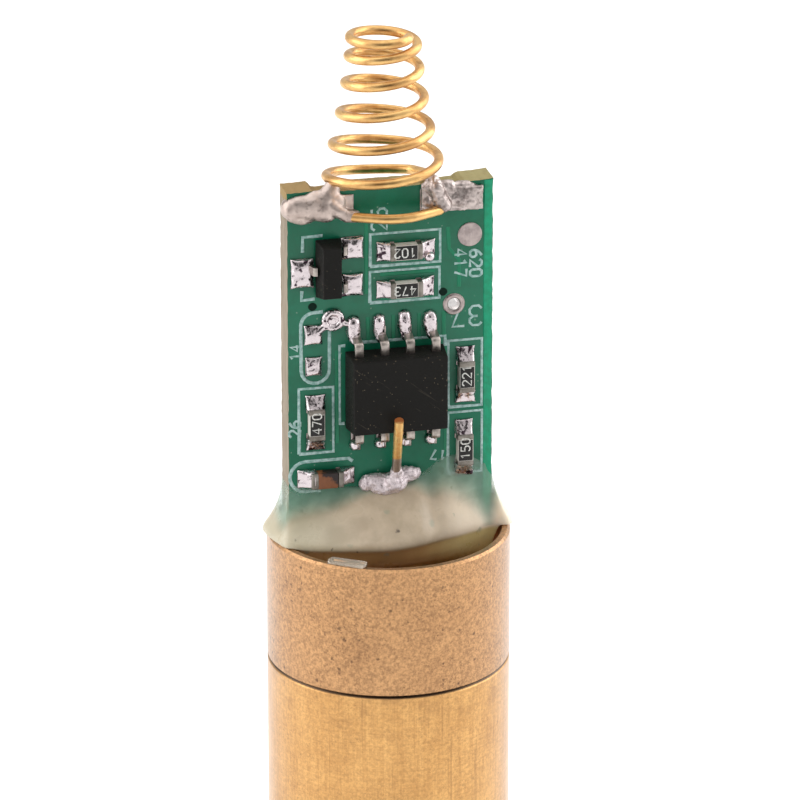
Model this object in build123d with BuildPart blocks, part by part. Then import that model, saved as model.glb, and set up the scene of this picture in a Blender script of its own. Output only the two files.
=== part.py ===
"""Laser diode module: brass barrel and housing, driver board and battery contact spring.

Millimetres. The origin is the centre of the front (aperture) face, +Z runs up the axis
to the contact spring, and the board's component side faces -Y.
"""
import os
from math import cos, exp, pi, sin

from build123d import *

os.makedirs("parts", exist_ok=True)

# Brass barrel and diode housing
body_d = 12.0
barrel_length = 24.0
housing_height = 6.7
housing_wall = 0.4
cup_depth = 3.6
spigot_wall = 1.0
spigot_length = 5.0
spigot_end_gap = 0.3
beam_bore_wall = 3.5
edge_break = 0.12
front_chamfer = 0.3
push_fit = 0.02

# Collimating lens, its cell and its retaining ring
cell_wall = 1.5
cell_length = 8.0
cell_set_back = 0.3
lens_wall = 1.5
lens_ledge = 0.7
lens_dome_margin = 0.1
lens_flange_t = 1.2
lens_dome_rise = 0.6
lens_pocket_depth = 4.0
retainer_t = 1.2
spanner_slot_w = 0.8
spanner_slot_depth = 0.5

# Laser diode in its can
flange_d = 5.6
flange_t = 1.2
flange_sunk = 0.8
can_d = 3.6
can_height = 2.3
can_wall = 0.2
can_room = 0.2
window_hole_d = 1.6
window_gap = 0.3
window_t = 0.25
post_w = 1.3
post_t = 0.7
post_height = 1.5
chip_side = 0.6
chip_t = 0.25
lead_d = 0.45
lead_flats = 8
lead_circle_d = 2.0
seal_d = 0.9
lead_stub = 0.4

# Driver board, placed a little off the axis as it was glued in by hand
board_side_gap = 0.32
board_t = 1.6
board_x = -0.1
board_y = -0.15
board_floor_gap = 0.5
tab_rise = 0.28
tab_left_w = 1.3
tab_right_w = 1.72
tab_slant = 0.25
plated_hole_d = 0.6
plated_land_d = 1.1
test_land_d = 1.2
pad_t = 0.05
spring_land_h = 1.45
spring_land_left_share = 0.637
spring_land_right_share = 0.608
spring_land_off = 0.4
spring_land_edge_gap = 0.1

# Layout upwards from the adhesive: clear gaps between the rows of parts
lead_lump_gap = 0.25
capacitor_gap = 0.55
ic_low_gap = 0.775
resistor_row_gap = 0.83
resistor_gap = 1.14
spring_land_gap = 1.08
sot_lift = 0.4
via_lift = 0.47
bare_land_drop = 0.68
bare_land_pitch = 1.64
left_column_gap = 1.045
right_column_gap = 1.0
right_low_gap = 0.1
test_land_lift = 0.53
plated_hole_drop = 1.05

# Layout across: off the board's middle, or a share of the room beside the driver chip
resistor_1_off = 0.7
resistor_2_off = 0.72
sot_share = 0.608
capacitor_lump_gap = 0.32
resistor_3_share = 0.448
resistor_4_share = 0.424
test_land_share = 0.532
plated_hole_share = 0.22
resistor_5_share = 0.518
bare_land_share = 0.55
solder_via_share = 0.203

# Contact spring
wire_d = 0.5
wire_flats = 6
wire_corner_share = 1.1
spring_x = -0.26
spring_bottom_share = 0.541
spring_top_share = 0.58
spring_pitch = 1.58
spring_closing = 1.38
spring_turns = 5
spring_stand = 0.43
spring_lean = 0.36
landing_in = 0.45
tip_lead_in = 0.22
coil_arcs = 36
wire_gap = 0.06
foot_drop = 1.0
foot_bulge = 1.2
foot_sunk = 0.45
foot_bend = 0.3
foot_sweep = 2.4

# Eight-lead driver chip
ic_x = 0.15
ic_length = 4.9
ic_width = 3.9
ic_t = 1.5
ic_stand = 0.1
ic_bevel = 0.16
ic_pitch = 1.27
ic_lead_w = 0.42
ic_lead_t = 0.2
ic_span = 6.0
ic_foot_share = 0.52
ic_land_l = 1.5
ic_land_w = 0.62
ic_bend = 0.16

# Three-lead transistor
sot_length = 2.95
sot_width = 1.3
sot_t = 1.0
sot_pitch = 1.9
sot_lead_w = 0.42
sot_lead_t = 0.14
sot_span = 2.5
sot_foot = 0.4
sot_land_w = 1.0
sot_land_l = 1.0
sot_land_reach = 0.45
sot_bend = 0.1

# Chip resistors and the chip capacitor
chip_l = 1.6
chip_w = 0.8
resistor_t = 0.45
chip_end_l = 0.28
capacitor_t = 0.6
chip_land_reach = 0.6
chip_land_w = 0.9
chip_solder_rise = 0.34
wedge_toe = 0.05
wedge_hollow_along = 0.38
wedge_hollow_up = 0.42

# Solder lumps
solder_left_t = 0.7
solder_right_t = 0.52
solder_taper = 24
neck_d = 0.9
bare_solder_w = 0.8
bare_solder_h = 0.95
bare_solder_t = 0.2
dome_t = 0.3
lead_lump_w = 2.9
lead_lump_h = 1.15
lead_lump_t = 0.85
rear_lump_w = 0.95
rear_lump_h = 1.4
rear_lump_t = 0.75

# Front lead's free end, measured from the board's face
lead_x = -0.2
lead_free = 3.8
lead_tip_out = 2.3
lead_bend_out = 0.42
lead_skin = 0.03
lump_corner_share = 0.3
rear_lead_gap = 0.35

# Adhesive
glue_rise = 2.65
glue_overhang = 0.2
glue_flare_t = 0.32
glue_shoulder = 1.35
glue_front = 3.45
glue_back = 2.9
glue_skin = 0.3
glue_sunk = 0.5
glue_shoulder_share = 0.7
flake_t = 0.14
flake_turn = 236

# Adhesive outline seen from above: share of its half width, then of its depth where it is
# spread over the rim, then of its depth close round the board
glue_front_shape = (
    (-1, 0, 0),
    (-0.93, 0.42, 0.9),
    (-0.52, 0.85, 1),
    (-0.12, 1, 1),
    (0.4, 0.72, 1),
    (0.76, 0.42, 1),
    (0.95, 0.3, 0.9),
    (1, 0, 0),
)
glue_back_shape = ((0.93, 0.5, 0.9), (0.4, 0.92, 1), (-0.4, 0.92, 1), (-0.93, 0.5, 0.9))

# Corners of the loose flake: in from the rim's outer edge, and along the rim
flake_corners = ((0.12, -0.88), (0.12, 0.9), (0.9, 0.9), (1.05, -0.1), (0.9, -0.84))

body_r = body_d / 2
rim_z = barrel_length + housing_height
cup_floor = rim_z - cup_depth
cup_r = body_r - housing_wall
diode_back = cup_floor - flange_sunk
diode_seat = diode_back - flange_t

# Barrel: a plain turned tube with pockets for the lens cell and the housing's spigot
spigot_d = body_d - 2 * spigot_wall
cell_d = body_d - 2 * cell_wall
beam_bore_r = body_r - beam_bore_wall
cell_top = cell_set_back + cell_length
spigot_floor = barrel_length - spigot_length - spigot_end_gap
cell_pocket_r = cell_d / 2 + push_fit
spigot_pocket_r = spigot_d / 2 + push_fit

with BuildPart() as barrel:
    with BuildSketch(Plane.XZ):
        with BuildLine():
            Polyline(
                (cell_pocket_r, 0),
                (body_r - front_chamfer, 0),
                (body_r, front_chamfer),
                (body_r, barrel_length - edge_break),
                (body_r - edge_break, barrel_length),
                (spigot_pocket_r, barrel_length),
                (spigot_pocket_r, spigot_floor),
                (beam_bore_r, spigot_floor),
                (beam_bore_r, cell_top),
                (cell_pocket_r, cell_top),
                close=True,
            )
        make_face()
    revolve(axis=Axis.Z)

# Diode housing: cup for the board, seat for the diode and spigot, turned in one piece
flange_seat_r = flange_d / 2 + push_fit
can_bore_r = can_d / 2 + can_room
spigot_end = barrel_length - spigot_length

with BuildPart() as diode_housing:
    with BuildSketch(Plane.XZ):
        with BuildLine():
            Polyline(
                (can_bore_r, spigot_end),
                (spigot_d / 2, spigot_end),
                (spigot_d / 2, barrel_length),
                (body_r - edge_break, barrel_length),
                (body_r, barrel_length + edge_break),
                (body_r, rim_z - edge_break),
                (body_r - edge_break, rim_z),
                (cup_r, rim_z),
                (cup_r, cup_floor),
                (flange_seat_r, cup_floor),
                (flange_seat_r, diode_seat),
                (can_bore_r, diode_seat),
                close=True,
            )
        make_face()
    revolve(axis=Axis.Z)

# Lens cell: brass bush with a pocket for the lens, open to the front
lens_d = cell_d - 2 * lens_wall
lens_bore_d = lens_d - 2 * lens_ledge
lens_seat = cell_set_back + lens_pocket_depth
lens_pocket_r = lens_d / 2 + push_fit

with BuildPart() as lens_cell:
    with BuildSketch(Plane.XZ):
        with BuildLine():
            Polyline(
                (lens_pocket_r, cell_set_back),
                (cell_d / 2, cell_set_back),
                (cell_d / 2, cell_top),
                (lens_bore_d / 2, cell_top),
                (lens_bore_d / 2, lens_seat),
                (lens_pocket_r, lens_seat),
                close=True,
            )
        make_face()
    revolve(axis=Axis.Z)

# Lens: moulded flange with a domed front, flat side to the diode
lens_face = lens_seat - lens_flange_t
lens_dome_r = lens_bore_d / 2 - lens_dome_margin
lens_tip = lens_face - lens_dome_rise

with BuildPart() as lens:
    with BuildSketch(Plane.XZ):
        with BuildLine():
            Polyline(
                (0, lens_tip),
                (0, lens_seat),
                (lens_d / 2, lens_seat),
                (lens_d / 2, lens_face),
                (lens_dome_r, lens_face),
            )
            TangentArc((0, lens_tip), (lens_dome_r, lens_face), tangent=(1, 0))
        make_face()
    revolve(axis=Axis.Z)

# Retaining ring, with two slots for a pin spanner
retainer_z = lens_face - retainer_t

with BuildPart() as lens_retainer:
    with BuildSketch(Plane.XY.offset(retainer_z)):
        Circle(lens_d / 2)
        Circle(lens_bore_d / 2, mode=Mode.SUBTRACT)
    extrude(amount=retainer_t)
    with BuildSketch(Plane.XY.offset(retainer_z)):
        Rectangle(lens_d * 2, spanner_slot_w)
    extrude(amount=spanner_slot_depth, mode=Mode.SUBTRACT)

# Diode header: flange with a heat-sink post on its front, drilled for two sealed leads
lead_r = lead_d / 2
lead_circle_r = lead_circle_d / 2
rear_lead_x = lead_circle_r * cos(pi / 6)
rear_lead_y = lead_circle_r * sin(pi / 6)
post_front = diode_seat - post_height

with BuildPart() as diode_header:
    with BuildSketch(Plane.XY.offset(diode_seat)):
        Circle(flange_d / 2)
    extrude(amount=flange_t)
    with BuildSketch(Plane.XY.offset(diode_seat)):
        with Locations((0, -post_t / 2 - chip_t)):
            Rectangle(post_w, post_t)
    extrude(amount=-post_height)
    with BuildSketch(Plane.XY.offset(diode_seat)):
        with Locations((-rear_lead_x, rear_lead_y), (rear_lead_x, rear_lead_y)):
            Circle(seal_d / 2)
    extrude(amount=flange_t, mode=Mode.SUBTRACT)

# Laser chip on the flat of the post, on the axis
with BuildPart() as diode_chip:
    with BuildSketch(Plane.XY.offset(post_front)):
        with Locations((0, -chip_t / 2)):
            Rectangle(chip_side, chip_t)
    extrude(amount=chip_side)

# Glass beads that carry the two insulated leads through the flange
with BuildPart() as diode_seals:
    with BuildSketch(Plane.XY.offset(diode_seat)):
        with Locations((-rear_lead_x, rear_lead_y), (rear_lead_x, rear_lead_y)):
            Circle(seal_d / 2)
            RegularPolygon(lead_r, lead_flats, mode=Mode.SUBTRACT)
    extrude(amount=flange_t)

# Can: drawn cup over the chip, with a window hole in its end
can_end = diode_seat - can_height

with BuildPart() as diode_cap:
    with BuildSketch(Plane.XY.offset(can_end)):
        Circle(can_d / 2)
    extrude(amount=can_height)
    with BuildSketch(Plane.XY.offset(can_end + can_wall)):
        Circle(can_d / 2 - can_wall)
    extrude(amount=can_height - can_wall, mode=Mode.SUBTRACT)
    with BuildSketch(Plane.XY.offset(can_end)):
        Circle(window_hole_d / 2)
    extrude(amount=can_wall, mode=Mode.SUBTRACT)

# Window: glass disc sealed to the inside of the can's end
with BuildPart() as diode_window:
    with BuildSketch(Plane.XY.offset(can_end + can_wall)):
        Circle(can_d / 2 - can_wall - window_gap)
    extrude(amount=window_t)

# Rows of parts on the board, as heights above the rim; the board's top edge follows them
lead_lump_height = glue_rise + lead_lump_gap
capacitor_height = glue_rise + capacitor_gap
ic_height = lead_lump_height + lead_lump_h / 2 + ic_low_gap + chip_land_reach + ic_span / 2
resistor_2_height = ic_height + ic_span / 2 + chip_land_reach + resistor_row_gap + chip_w / 2
resistor_1_height = resistor_2_height + chip_w + resistor_gap
sot_height = (resistor_1_height + resistor_2_height) / 2 + sot_lift
solder_via_height = ic_height + ic_span / 2 + via_lift
bare_land_high = solder_via_height - bare_land_drop
bare_land_low = bare_land_high - bare_land_pitch
chip_reach = chip_l / 2 + chip_land_reach
resistor_5_height = bare_land_low - bare_solder_h / 2 - left_column_gap - chip_reach
resistor_4_height = glue_rise + right_low_gap + chip_reach
resistor_3_height = resistor_4_height + 2 * chip_reach + right_column_gap
spring_land_low = resistor_1_height + chip_w / 2 + spring_land_gap
board_rise = spring_land_low + spring_land_h + spring_land_edge_gap

# Driver board: snapped from a panel, so two stubs of the tabs stand on its top edge
face_y = board_y - board_t / 2
back_y = board_y + board_t / 2
board_half = (cup_r**2 - face_y**2) ** 0.5 - board_side_gap - abs(board_x)
board_left = board_x - board_half
board_right = board_x + board_half
board_bottom = cup_floor + board_floor_gap
board_top = rim_z + board_rise
ic_middle = board_x + ic_x
ic_right = ic_middle + ic_length / 2
ic_left = ic_middle - ic_length / 2
right_room = board_right - ic_right
left_room = ic_left - board_left
tab_top = board_top + tab_rise
board_face = Plane.XZ.offset(-face_y)
board_back = Plane.XZ.offset(-back_y)
plated_hole = (ic_right + plated_hole_share * right_room, rim_z + resistor_2_height - plated_hole_drop)

with BuildPart() as driver_board:
    with BuildSketch(board_face):
        with BuildLine():
            Polyline(
                (board_left, board_bottom),
                (board_right, board_bottom),
                (board_right, tab_top),
                (board_right - tab_right_w, tab_top),
                (board_right - tab_right_w - tab_slant, board_top),
                (board_left + tab_left_w + tab_slant, board_top),
                (board_left + tab_left_w, tab_top),
                (board_left, tab_top),
                close=True,
            )
        make_face()
        with Locations(plated_hole):
            Circle(plated_hole_d / 2, mode=Mode.SUBTRACT)
    extrude(amount=-board_t)

# Places of the parts on the board's face
pad_y = face_y - pad_t
ic_z = rim_z + ic_height
sot_x = board_x - sot_share * board_half
sot_z = rim_z + sot_height
across = Vector(1, 0, 0)
upright = Vector(0, 0, 1)
resistors = {
    "resistor_1": (board_x + resistor_1_off, rim_z + resistor_1_height, across),
    "resistor_2": (board_x + resistor_2_off, rim_z + resistor_2_height, across),
    "resistor_3": (ic_right + resistor_3_share * right_room, rim_z + resistor_3_height, upright),
    "resistor_4": (ic_right + resistor_4_share * right_room, rim_z + resistor_4_height, upright),
    "resistor_5": (ic_left - resistor_5_share * left_room, rim_z + resistor_5_height, upright),
}
capacitor_x = lead_x - lead_lump_w / 2 - capacitor_lump_gap - chip_reach
capacitor_place = (capacitor_x, rim_z + capacitor_height, across)
bare_x = ic_left - bare_land_share * left_room
bare_lands = [(bare_x, rim_z + bare_land_high), (bare_x, rim_z + bare_land_low)]
solder_via = (ic_left - solder_via_share * left_room, rim_z + solder_via_height)
test_land = (ic_right + test_land_share * right_room, rim_z + resistor_1_height + test_land_lift)
land_top = board_top - spring_land_edge_gap
land_middle = land_top - spring_land_h / 2
spring_bottom_r = spring_bottom_share * board_half
spring_top_r = spring_top_share * spring_bottom_r
foot_right = spring_x + spring_bottom_r
neck_x = spring_x - spring_bottom_r - wire_d / 4
spring_land_left_w = spring_land_left_share * board_half
spring_land_right_w = spring_land_right_share * board_half
left_land = (neck_x - spring_land_off, land_middle)
right_land = (foot_right + spring_land_off, land_middle)
lead_lump_z = rim_z + lead_lump_height
chip_land_l = chip_end_l + chip_land_reach
chip_land_middle = chip_l / 2 - chip_end_l + chip_land_l / 2
sot_land_x = sot_span / 2 + sot_land_reach - sot_land_l / 2
ic_land_z = ic_span / 2 + chip_land_reach - ic_land_l / 2
ic_columns = [ic_middle + ic_pitch * (column - 1.5) for column in range(4)]


def chip_plane(place, out=pad_t):
    """Plane of one chip part: local X along the chip, local Z away from the board."""
    x, z, along = place
    return Plane(origin=(x, face_y - out, z), x_dir=along, z_dir=(0, -1, 0))


def side_plane(place, out=pad_t):
    """Plane through the middle of a chip part: local X along it, local Y off the board."""
    x, z, along = place
    sideways = along.cross(Vector(0, -1, 0))
    return Plane(origin=(x, face_y - out, z), x_dir=along, z_dir=sideways)


def wedge_profile(plane, start, reach, rise):
    """Hollow-faced solder fillet, from an end face at start down to the land's far edge."""
    head = (start, rise)
    toe = (start + reach, wedge_toe)
    hollow = (start + reach * wedge_hollow_along, wedge_toe + (rise - wedge_toe) * wedge_hollow_up)
    with BuildSketch(plane) as profile:
        with BuildLine():
            Polyline(head, (start, 0), (start + reach, 0), toe)
            ThreePointArc(toe, hollow, head)
        make_face()
    return profile.sketch


# Copper lands, tinned, standing a hair above the board's face
with BuildPart() as copper_pads:
    with BuildSketch(board_face):
        with Locations(left_land):
            Rectangle(spring_land_left_w, spring_land_h)
        with Locations(right_land):
            Rectangle(spring_land_right_w, spring_land_h)
        with Locations(test_land):
            Circle(test_land_d / 2)
        with Locations(plated_hole):
            Circle(plated_land_d / 2)
            Circle(plated_hole_d / 2, mode=Mode.SUBTRACT)
        with Locations(solder_via):
            Circle(plated_land_d / 2)
        with Locations((lead_x, lead_lump_z)):
            Rectangle(lead_lump_w, lead_lump_h)
        with Locations(*bare_lands):
            Rectangle(bare_solder_w, bare_solder_h)
        for x in ic_columns:
            with Locations((x, ic_z + ic_land_z), (x, ic_z - ic_land_z)):
                Rectangle(ic_land_w, ic_land_l)
        with Locations((sot_x - sot_land_x, sot_z)):
            Rectangle(sot_land_l, sot_land_w)
        with Locations((sot_x + sot_land_x, sot_z)):
            with GridLocations(0, sot_pitch, 1, 2):
                Rectangle(sot_land_l, sot_land_w)
        for x, z, along in [*resistors.values(), capacitor_place]:
            for end in (-1, 1):
                with Locations((x + along.X * end * chip_land_middle, z + along.Z * end * chip_land_middle)):
                    if along.X:
                        Rectangle(chip_land_l, chip_land_w)
                    else:
                        Rectangle(chip_land_w, chip_land_l)
    extrude(amount=pad_t)

# Driver chip: moulded body with bevelled sides, parted at the lead frame
ic_waist = ic_t / 2

with BuildPart() as driver_ic_body:
    for level in (0, ic_t):
        with BuildSketch(Plane.XZ.offset(-pad_y + ic_stand + ic_waist)):
            with Locations((ic_middle, ic_z)):
                Rectangle(ic_length, ic_width)
        with BuildSketch(Plane.XZ.offset(-pad_y + ic_stand + level)):
            with Locations((ic_middle, ic_z)):
                Rectangle(ic_length - 2 * ic_bevel, ic_width - 2 * ic_bevel)
        loft()

# Gull-wing leads of the driver chip, four each side
ic_lead_y = pad_y - ic_stand - ic_waist
ic_foot_y = pad_y - ic_lead_t / 2
ic_foot = ic_foot_share * (ic_span - ic_width) / 2
ic_knee_z = ic_z + ic_span / 2 - ic_foot

with BuildPart() as driver_ic_leads:
    for x in ic_columns:
        with BuildSketch(Plane.YZ.offset(x)):
            with BuildLine():
                FilletPolyline(
                    (ic_lead_y, ic_z + ic_width / 2),
                    (ic_lead_y, ic_knee_z - ic_lead_t / 2),
                    (ic_foot_y, ic_knee_z + ic_lead_t / 2),
                    (ic_foot_y, ic_z + ic_span / 2),
                    radius=ic_bend,
                )
            trace(line_width=ic_lead_t)
        extrude(amount=ic_lead_w / 2, both=True)
    mirror(about=Plane.XY.offset(ic_z))

# Transistor: small moulded body
sot_waist = sot_t / 2

with BuildPart() as transistor_body:
    for level in (0, sot_t):
        with BuildSketch(Plane.XZ.offset(-pad_y + ic_stand + sot_waist)):
            with Locations((sot_x, sot_z)):
                Rectangle(sot_width, sot_length)
        with BuildSketch(Plane.XZ.offset(-pad_y + ic_stand + level)):
            with Locations((sot_x, sot_z)):
                Rectangle(sot_width - ic_bevel, sot_length - ic_bevel)
        loft()

# Transistor leads: one on the left, two on the right
sot_lead_y = pad_y - ic_stand - sot_waist
sot_foot_y = pad_y - sot_lead_t / 2
sot_knee = sot_span / 2 - sot_foot

with BuildPart() as transistor_leads:
    for side, height in ((-1, 0), (1, sot_pitch / 2), (1, -sot_pitch / 2)):
        with BuildSketch(Plane.XY.offset(sot_z + height)):
            with BuildLine():
                FilletPolyline(
                    (sot_x + side * sot_width / 2, sot_lead_y),
                    (sot_x + side * (sot_knee - sot_lead_t / 2), sot_lead_y),
                    (sot_x + side * (sot_knee + sot_lead_t / 2), sot_foot_y),
                    (sot_x + side * sot_span / 2, sot_foot_y),
                    radius=sot_bend,
                )
            trace(line_width=sot_lead_t)
        extrude(amount=sot_lead_w / 2, both=True)

# Chip resistors: ceramic bodies, each with a pair of plated ends
resistor_pieces = []
end_middle = (chip_l - chip_end_l) / 2
for name, place in resistors.items():
    with BuildPart() as resistor_body:
        with BuildSketch(chip_plane(place)):
            Rectangle(chip_l - 2 * chip_end_l, chip_w)
        extrude(amount=resistor_t)
    with BuildPart() as resistor_ends:
        with BuildSketch(chip_plane(place)):
            with Locations((-end_middle, 0), (end_middle, 0)):
                Rectangle(chip_end_l, chip_w)
        extrude(amount=resistor_t)
    resistor_pieces.append((name + "_body", resistor_body))
    resistor_pieces.append((name + "_ends", resistor_ends))

# Chip capacitor, thicker than the resistors
with BuildPart() as capacitor_body:
    with BuildSketch(chip_plane(capacitor_place)):
        Rectangle(chip_l - 2 * chip_end_l, chip_w)
    extrude(amount=capacitor_t)

with BuildPart() as capacitor_ends:
    with BuildSketch(chip_plane(capacitor_place)):
        with Locations((-end_middle, 0), (end_middle, 0)):
            Rectangle(chip_end_l, chip_w)
    extrude(amount=capacitor_t)

# Solder at the ends of the chip parts
with BuildPart() as resistor_solder:
    for x, z, along in resistors.values():
        for end in (along, -along):
            wedge = wedge_profile(side_plane((x, z, end)), chip_l / 2, chip_land_reach, chip_solder_rise)
            extrude(wedge, amount=chip_w / 2, both=True)

with BuildPart() as capacitor_solder:
    x, z, along = capacitor_place
    for end in (along, -along):
        wedge = wedge_profile(side_plane((x, z, end)), chip_l / 2, chip_land_reach, chip_solder_rise)
        extrude(wedge, amount=chip_w / 2, both=True)

# Solder at the toes of the driver chip's leads
with BuildPart() as ic_solder:
    for x in ic_columns:
        for end in (upright, -upright):
            wedge = wedge_profile(side_plane((x, ic_z, end)), ic_span / 2, chip_land_reach, ic_lead_t)
            extrude(wedge, amount=ic_land_w / 2, both=True)

# Solder on the transistor's lands, round its feet
with BuildPart() as transistor_solder:
    with BuildSketch(Plane.XZ.offset(-pad_y)):
        with Locations((sot_x - sot_land_x, sot_z)):
            Rectangle(sot_land_l, sot_land_w)
        with Locations((sot_x + sot_land_x, sot_z)):
            with GridLocations(0, sot_pitch, 1, 2):
                Rectangle(sot_land_l, sot_land_w)
    extrude(amount=dome_t, taper=solder_taper)
    add(transistor_leads.part, mode=Mode.SUBTRACT)
    add(transistor_body.part, mode=Mode.SUBTRACT)

# Solder on the lands of the part that was left off, and in the via beside them
with BuildPart() as bare_pad_solder:
    with BuildSketch(Plane.XZ.offset(-pad_y)):
        with Locations(*bare_lands):
            Rectangle(bare_solder_w, bare_solder_h)
        with Locations(solder_via):
            Circle(plated_land_d / 2)
    extrude(amount=bare_solder_t, taper=solder_taper)

# Contact spring: conical wire coil, right-handed, closed at its tip. Its last turn settles
# on the board's top edge, goes down the face and along it into the left-hand solder
wire_r = wire_d / 2
wire_stand = wire_r + wire_gap
foot_y = pad_y - wire_stand
foot_z = board_top - foot_drop
foot_end_x = left_land[0] + spring_land_left_w / 2 - foot_sunk
left_crossing = spring_turns + 0.25
right_crossing = spring_turns + 0.75
half_turn = right_crossing - left_crossing
settling = (spring_pitch * half_turn - spring_stand + wire_gap) / half_turn**2


def coil_drop(turn):
    """Height lost from the tip's front down to a turn; the first turn is nearly closed."""
    level_part = settling * max(turn - left_crossing, 0) ** 2
    return spring_pitch * turn - spring_closing * (1 - exp(-turn)) - level_part


coil_top = board_top + spring_stand + wire_r + coil_drop(left_crossing)


def coil_point(turn):
    """Middle of the wire; turns are counted from the tip's front, downwards, and sag at the rear."""
    spread = min(max(turn, 0) / spring_turns, 1)
    coil_r = spring_top_r + (spring_bottom_r - spring_top_r) * spread**2
    angle = -pi / 2 - 2 * pi * turn
    rear_share = ((1 - cos(2 * pi * turn)) / 2) ** 3
    sag = spring_lean * (turn / spring_turns) ** 2 * rear_share
    height = coil_top - coil_drop(turn) - sag
    return Vector(spring_x + coil_r * cos(angle), board_y + coil_r * sin(angle), height)


coil_step = (right_crossing + tip_lead_in) / coil_arcs
coil_turns = [step * coil_step - tip_lead_in for step in range(coil_arcs + 1)]
backwards = Vector(0, -1, 0)

with BuildPart() as contact_spring:
    with BuildLine() as spring_path:
        point = coil_point(coil_turns[0])
        heading = coil_point(coil_turns[0] + coil_step / 2) - coil_point(coil_turns[0] - coil_step / 2)
        for turn in coil_turns[1:-1]:
            bend = TangentArc(point, coil_point(turn), tangent=heading)
            point = bend @ 1
            heading = bend % 1
        landing = Vector(foot_right - landing_in, board_y, board_top + wire_stand)
        Spline(point, landing, tangents=(heading, backwards))
        FilletPolyline(
            landing,
            (landing.X, foot_y, landing.Z),
            (foot_right, foot_y, foot_z),
            ((foot_right + foot_end_x) / 2, foot_y - foot_bulge, foot_z),
            (foot_end_x, foot_y, foot_z),
            radius=(foot_bend, foot_bend, foot_sweep),
        )
    with BuildSketch(Plane(origin=spring_path.line @ 0, z_dir=spring_path.line % 0)):
        RegularPolygon(wire_r * wire_corner_share, wire_flats)
    sweep(path=spring_path.line, clean=False)

# Solder lump on the left: over the wire's end, with a neck up to the coil above it
neck_rise = spring_stand - wire_gap

with BuildPart() as spring_solder_left:
    with BuildSketch(Plane.XZ.offset(-pad_y)):
        with Locations(left_land):
            Rectangle(spring_land_left_w, spring_land_h)
    extrude(amount=solder_left_t, taper=solder_taper)
    with BuildSketch(Plane.XY.offset(land_top - neck_d)):
        with Locations((neck_x, face_y)):
            Circle(neck_d / 2)
    extrude(amount=neck_d + spring_land_edge_gap + neck_rise)
    add(driver_board.part, mode=Mode.SUBTRACT)
    add(copper_pads.part, mode=Mode.SUBTRACT)
    add(contact_spring.part, mode=Mode.SUBTRACT)

# Solder on the right: a flat rough layer over the land and the wire that runs down it
with BuildPart() as spring_solder_right:
    with BuildSketch(Plane.XZ.offset(-pad_y)):
        with Locations(right_land):
            Rectangle(spring_land_right_w, spring_land_h)
    extrude(amount=solder_right_t, taper=solder_taper)
    add(contact_spring.part, mode=Mode.SUBTRACT)

# Front lead: out of the header, up the board's face and away from it at its free end
lead_run_y = face_y - pad_t - lead_skin - lead_r

with BuildPart() as diode_lead_front:
    with BuildLine() as lead_path:
        FilletPolyline(
            (0, -lead_circle_r, diode_back),
            (0, -lead_circle_r, diode_back + lead_d),
            (lead_x, lead_run_y, board_bottom - lead_r),
            (lead_x, face_y - lead_bend_out, lead_lump_z),
            (lead_x, face_y - lead_tip_out, lead_lump_z + lead_free),
            radius=lead_d,
        )
    with BuildSketch(Plane(origin=lead_path.line @ 0, z_dir=lead_path.line % 0)):
        RegularPolygon(lead_r, lead_flats)
    sweep()

# Rear leads: through the glass beads, splayed back and up the board's rear face
rear_run_y = back_y + lead_skin + lead_r
rear_top = rim_z + glue_rise + rear_lead_gap
rear_lump_z = rear_top - rear_lump_h / 2

with BuildPart() as diode_leads_rear:
    for side in (-1, 1):
        with BuildLine() as rear_path:
            FilletPolyline(
                (side * rear_lead_x, rear_lead_y, diode_seat - lead_stub),
                (side * rear_lead_x, rear_lead_y, diode_back + lead_d),
                (side * rear_lead_x, rear_run_y, board_bottom - lead_r),
                (side * rear_lead_x, rear_run_y, rear_top),
                radius=lead_d,
            )
        with BuildSketch(Plane(origin=rear_path.line @ 0, z_dir=rear_path.line % 0)):
            RegularPolygon(lead_r, lead_flats)
        sweep()

# Solder lumps that join the leads to the board
with BuildPart() as lead_solder_front:
    with BuildSketch(Plane.XZ.offset(-pad_y)):
        with Locations((lead_x, lead_lump_z)):
            Rectangle(lead_lump_w, lead_lump_h)
        chamfer(vertices(), lead_lump_h * lump_corner_share)
    extrude(amount=lead_lump_t, taper=solder_taper)
    add(diode_lead_front.part, mode=Mode.SUBTRACT)

with BuildPart() as lead_solder_rear:
    with BuildSketch(board_back):
        with Locations((-rear_lead_x, rear_lump_z), (rear_lead_x, rear_lump_z)):
            Rectangle(rear_lump_w, rear_lump_h)
        chamfer(vertices(), rear_lump_w * lump_corner_share)
    extrude(amount=-rear_lump_t, taper=solder_taper)
    add(diode_leads_rear.part, mode=Mode.SUBTRACT)


def glue_outline(half, front, back, close):
    """Outline of the adhesive at one level, from 0, spread on the rim, to 1, close round the board."""
    outline = []
    for shape, depth in ((glue_front_shape, -front), (glue_back_shape, back)):
        for across_share, spread, near in shape:
            outline.append((across_share * half, (spread + (near - spread) * close) * depth))
    return outline


# Adhesive: a collar round the board, spread over the rim at both sides
glue_half = body_r + glue_overhang
board_reach = max(board_right, -board_left)
shoulder_half = (glue_half + board_reach) / 2
glue_levels = [
    (0, glue_half, glue_front, glue_back, 0),
    (glue_flare_t, glue_half, glue_front, glue_back, 0),
    (glue_shoulder, shoulder_half, glue_front * glue_shoulder_share, glue_back * glue_shoulder_share, 0.5),
    (glue_rise, board_reach + glue_skin, glue_skin - face_y, glue_skin + back_y, 1),
]

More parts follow.
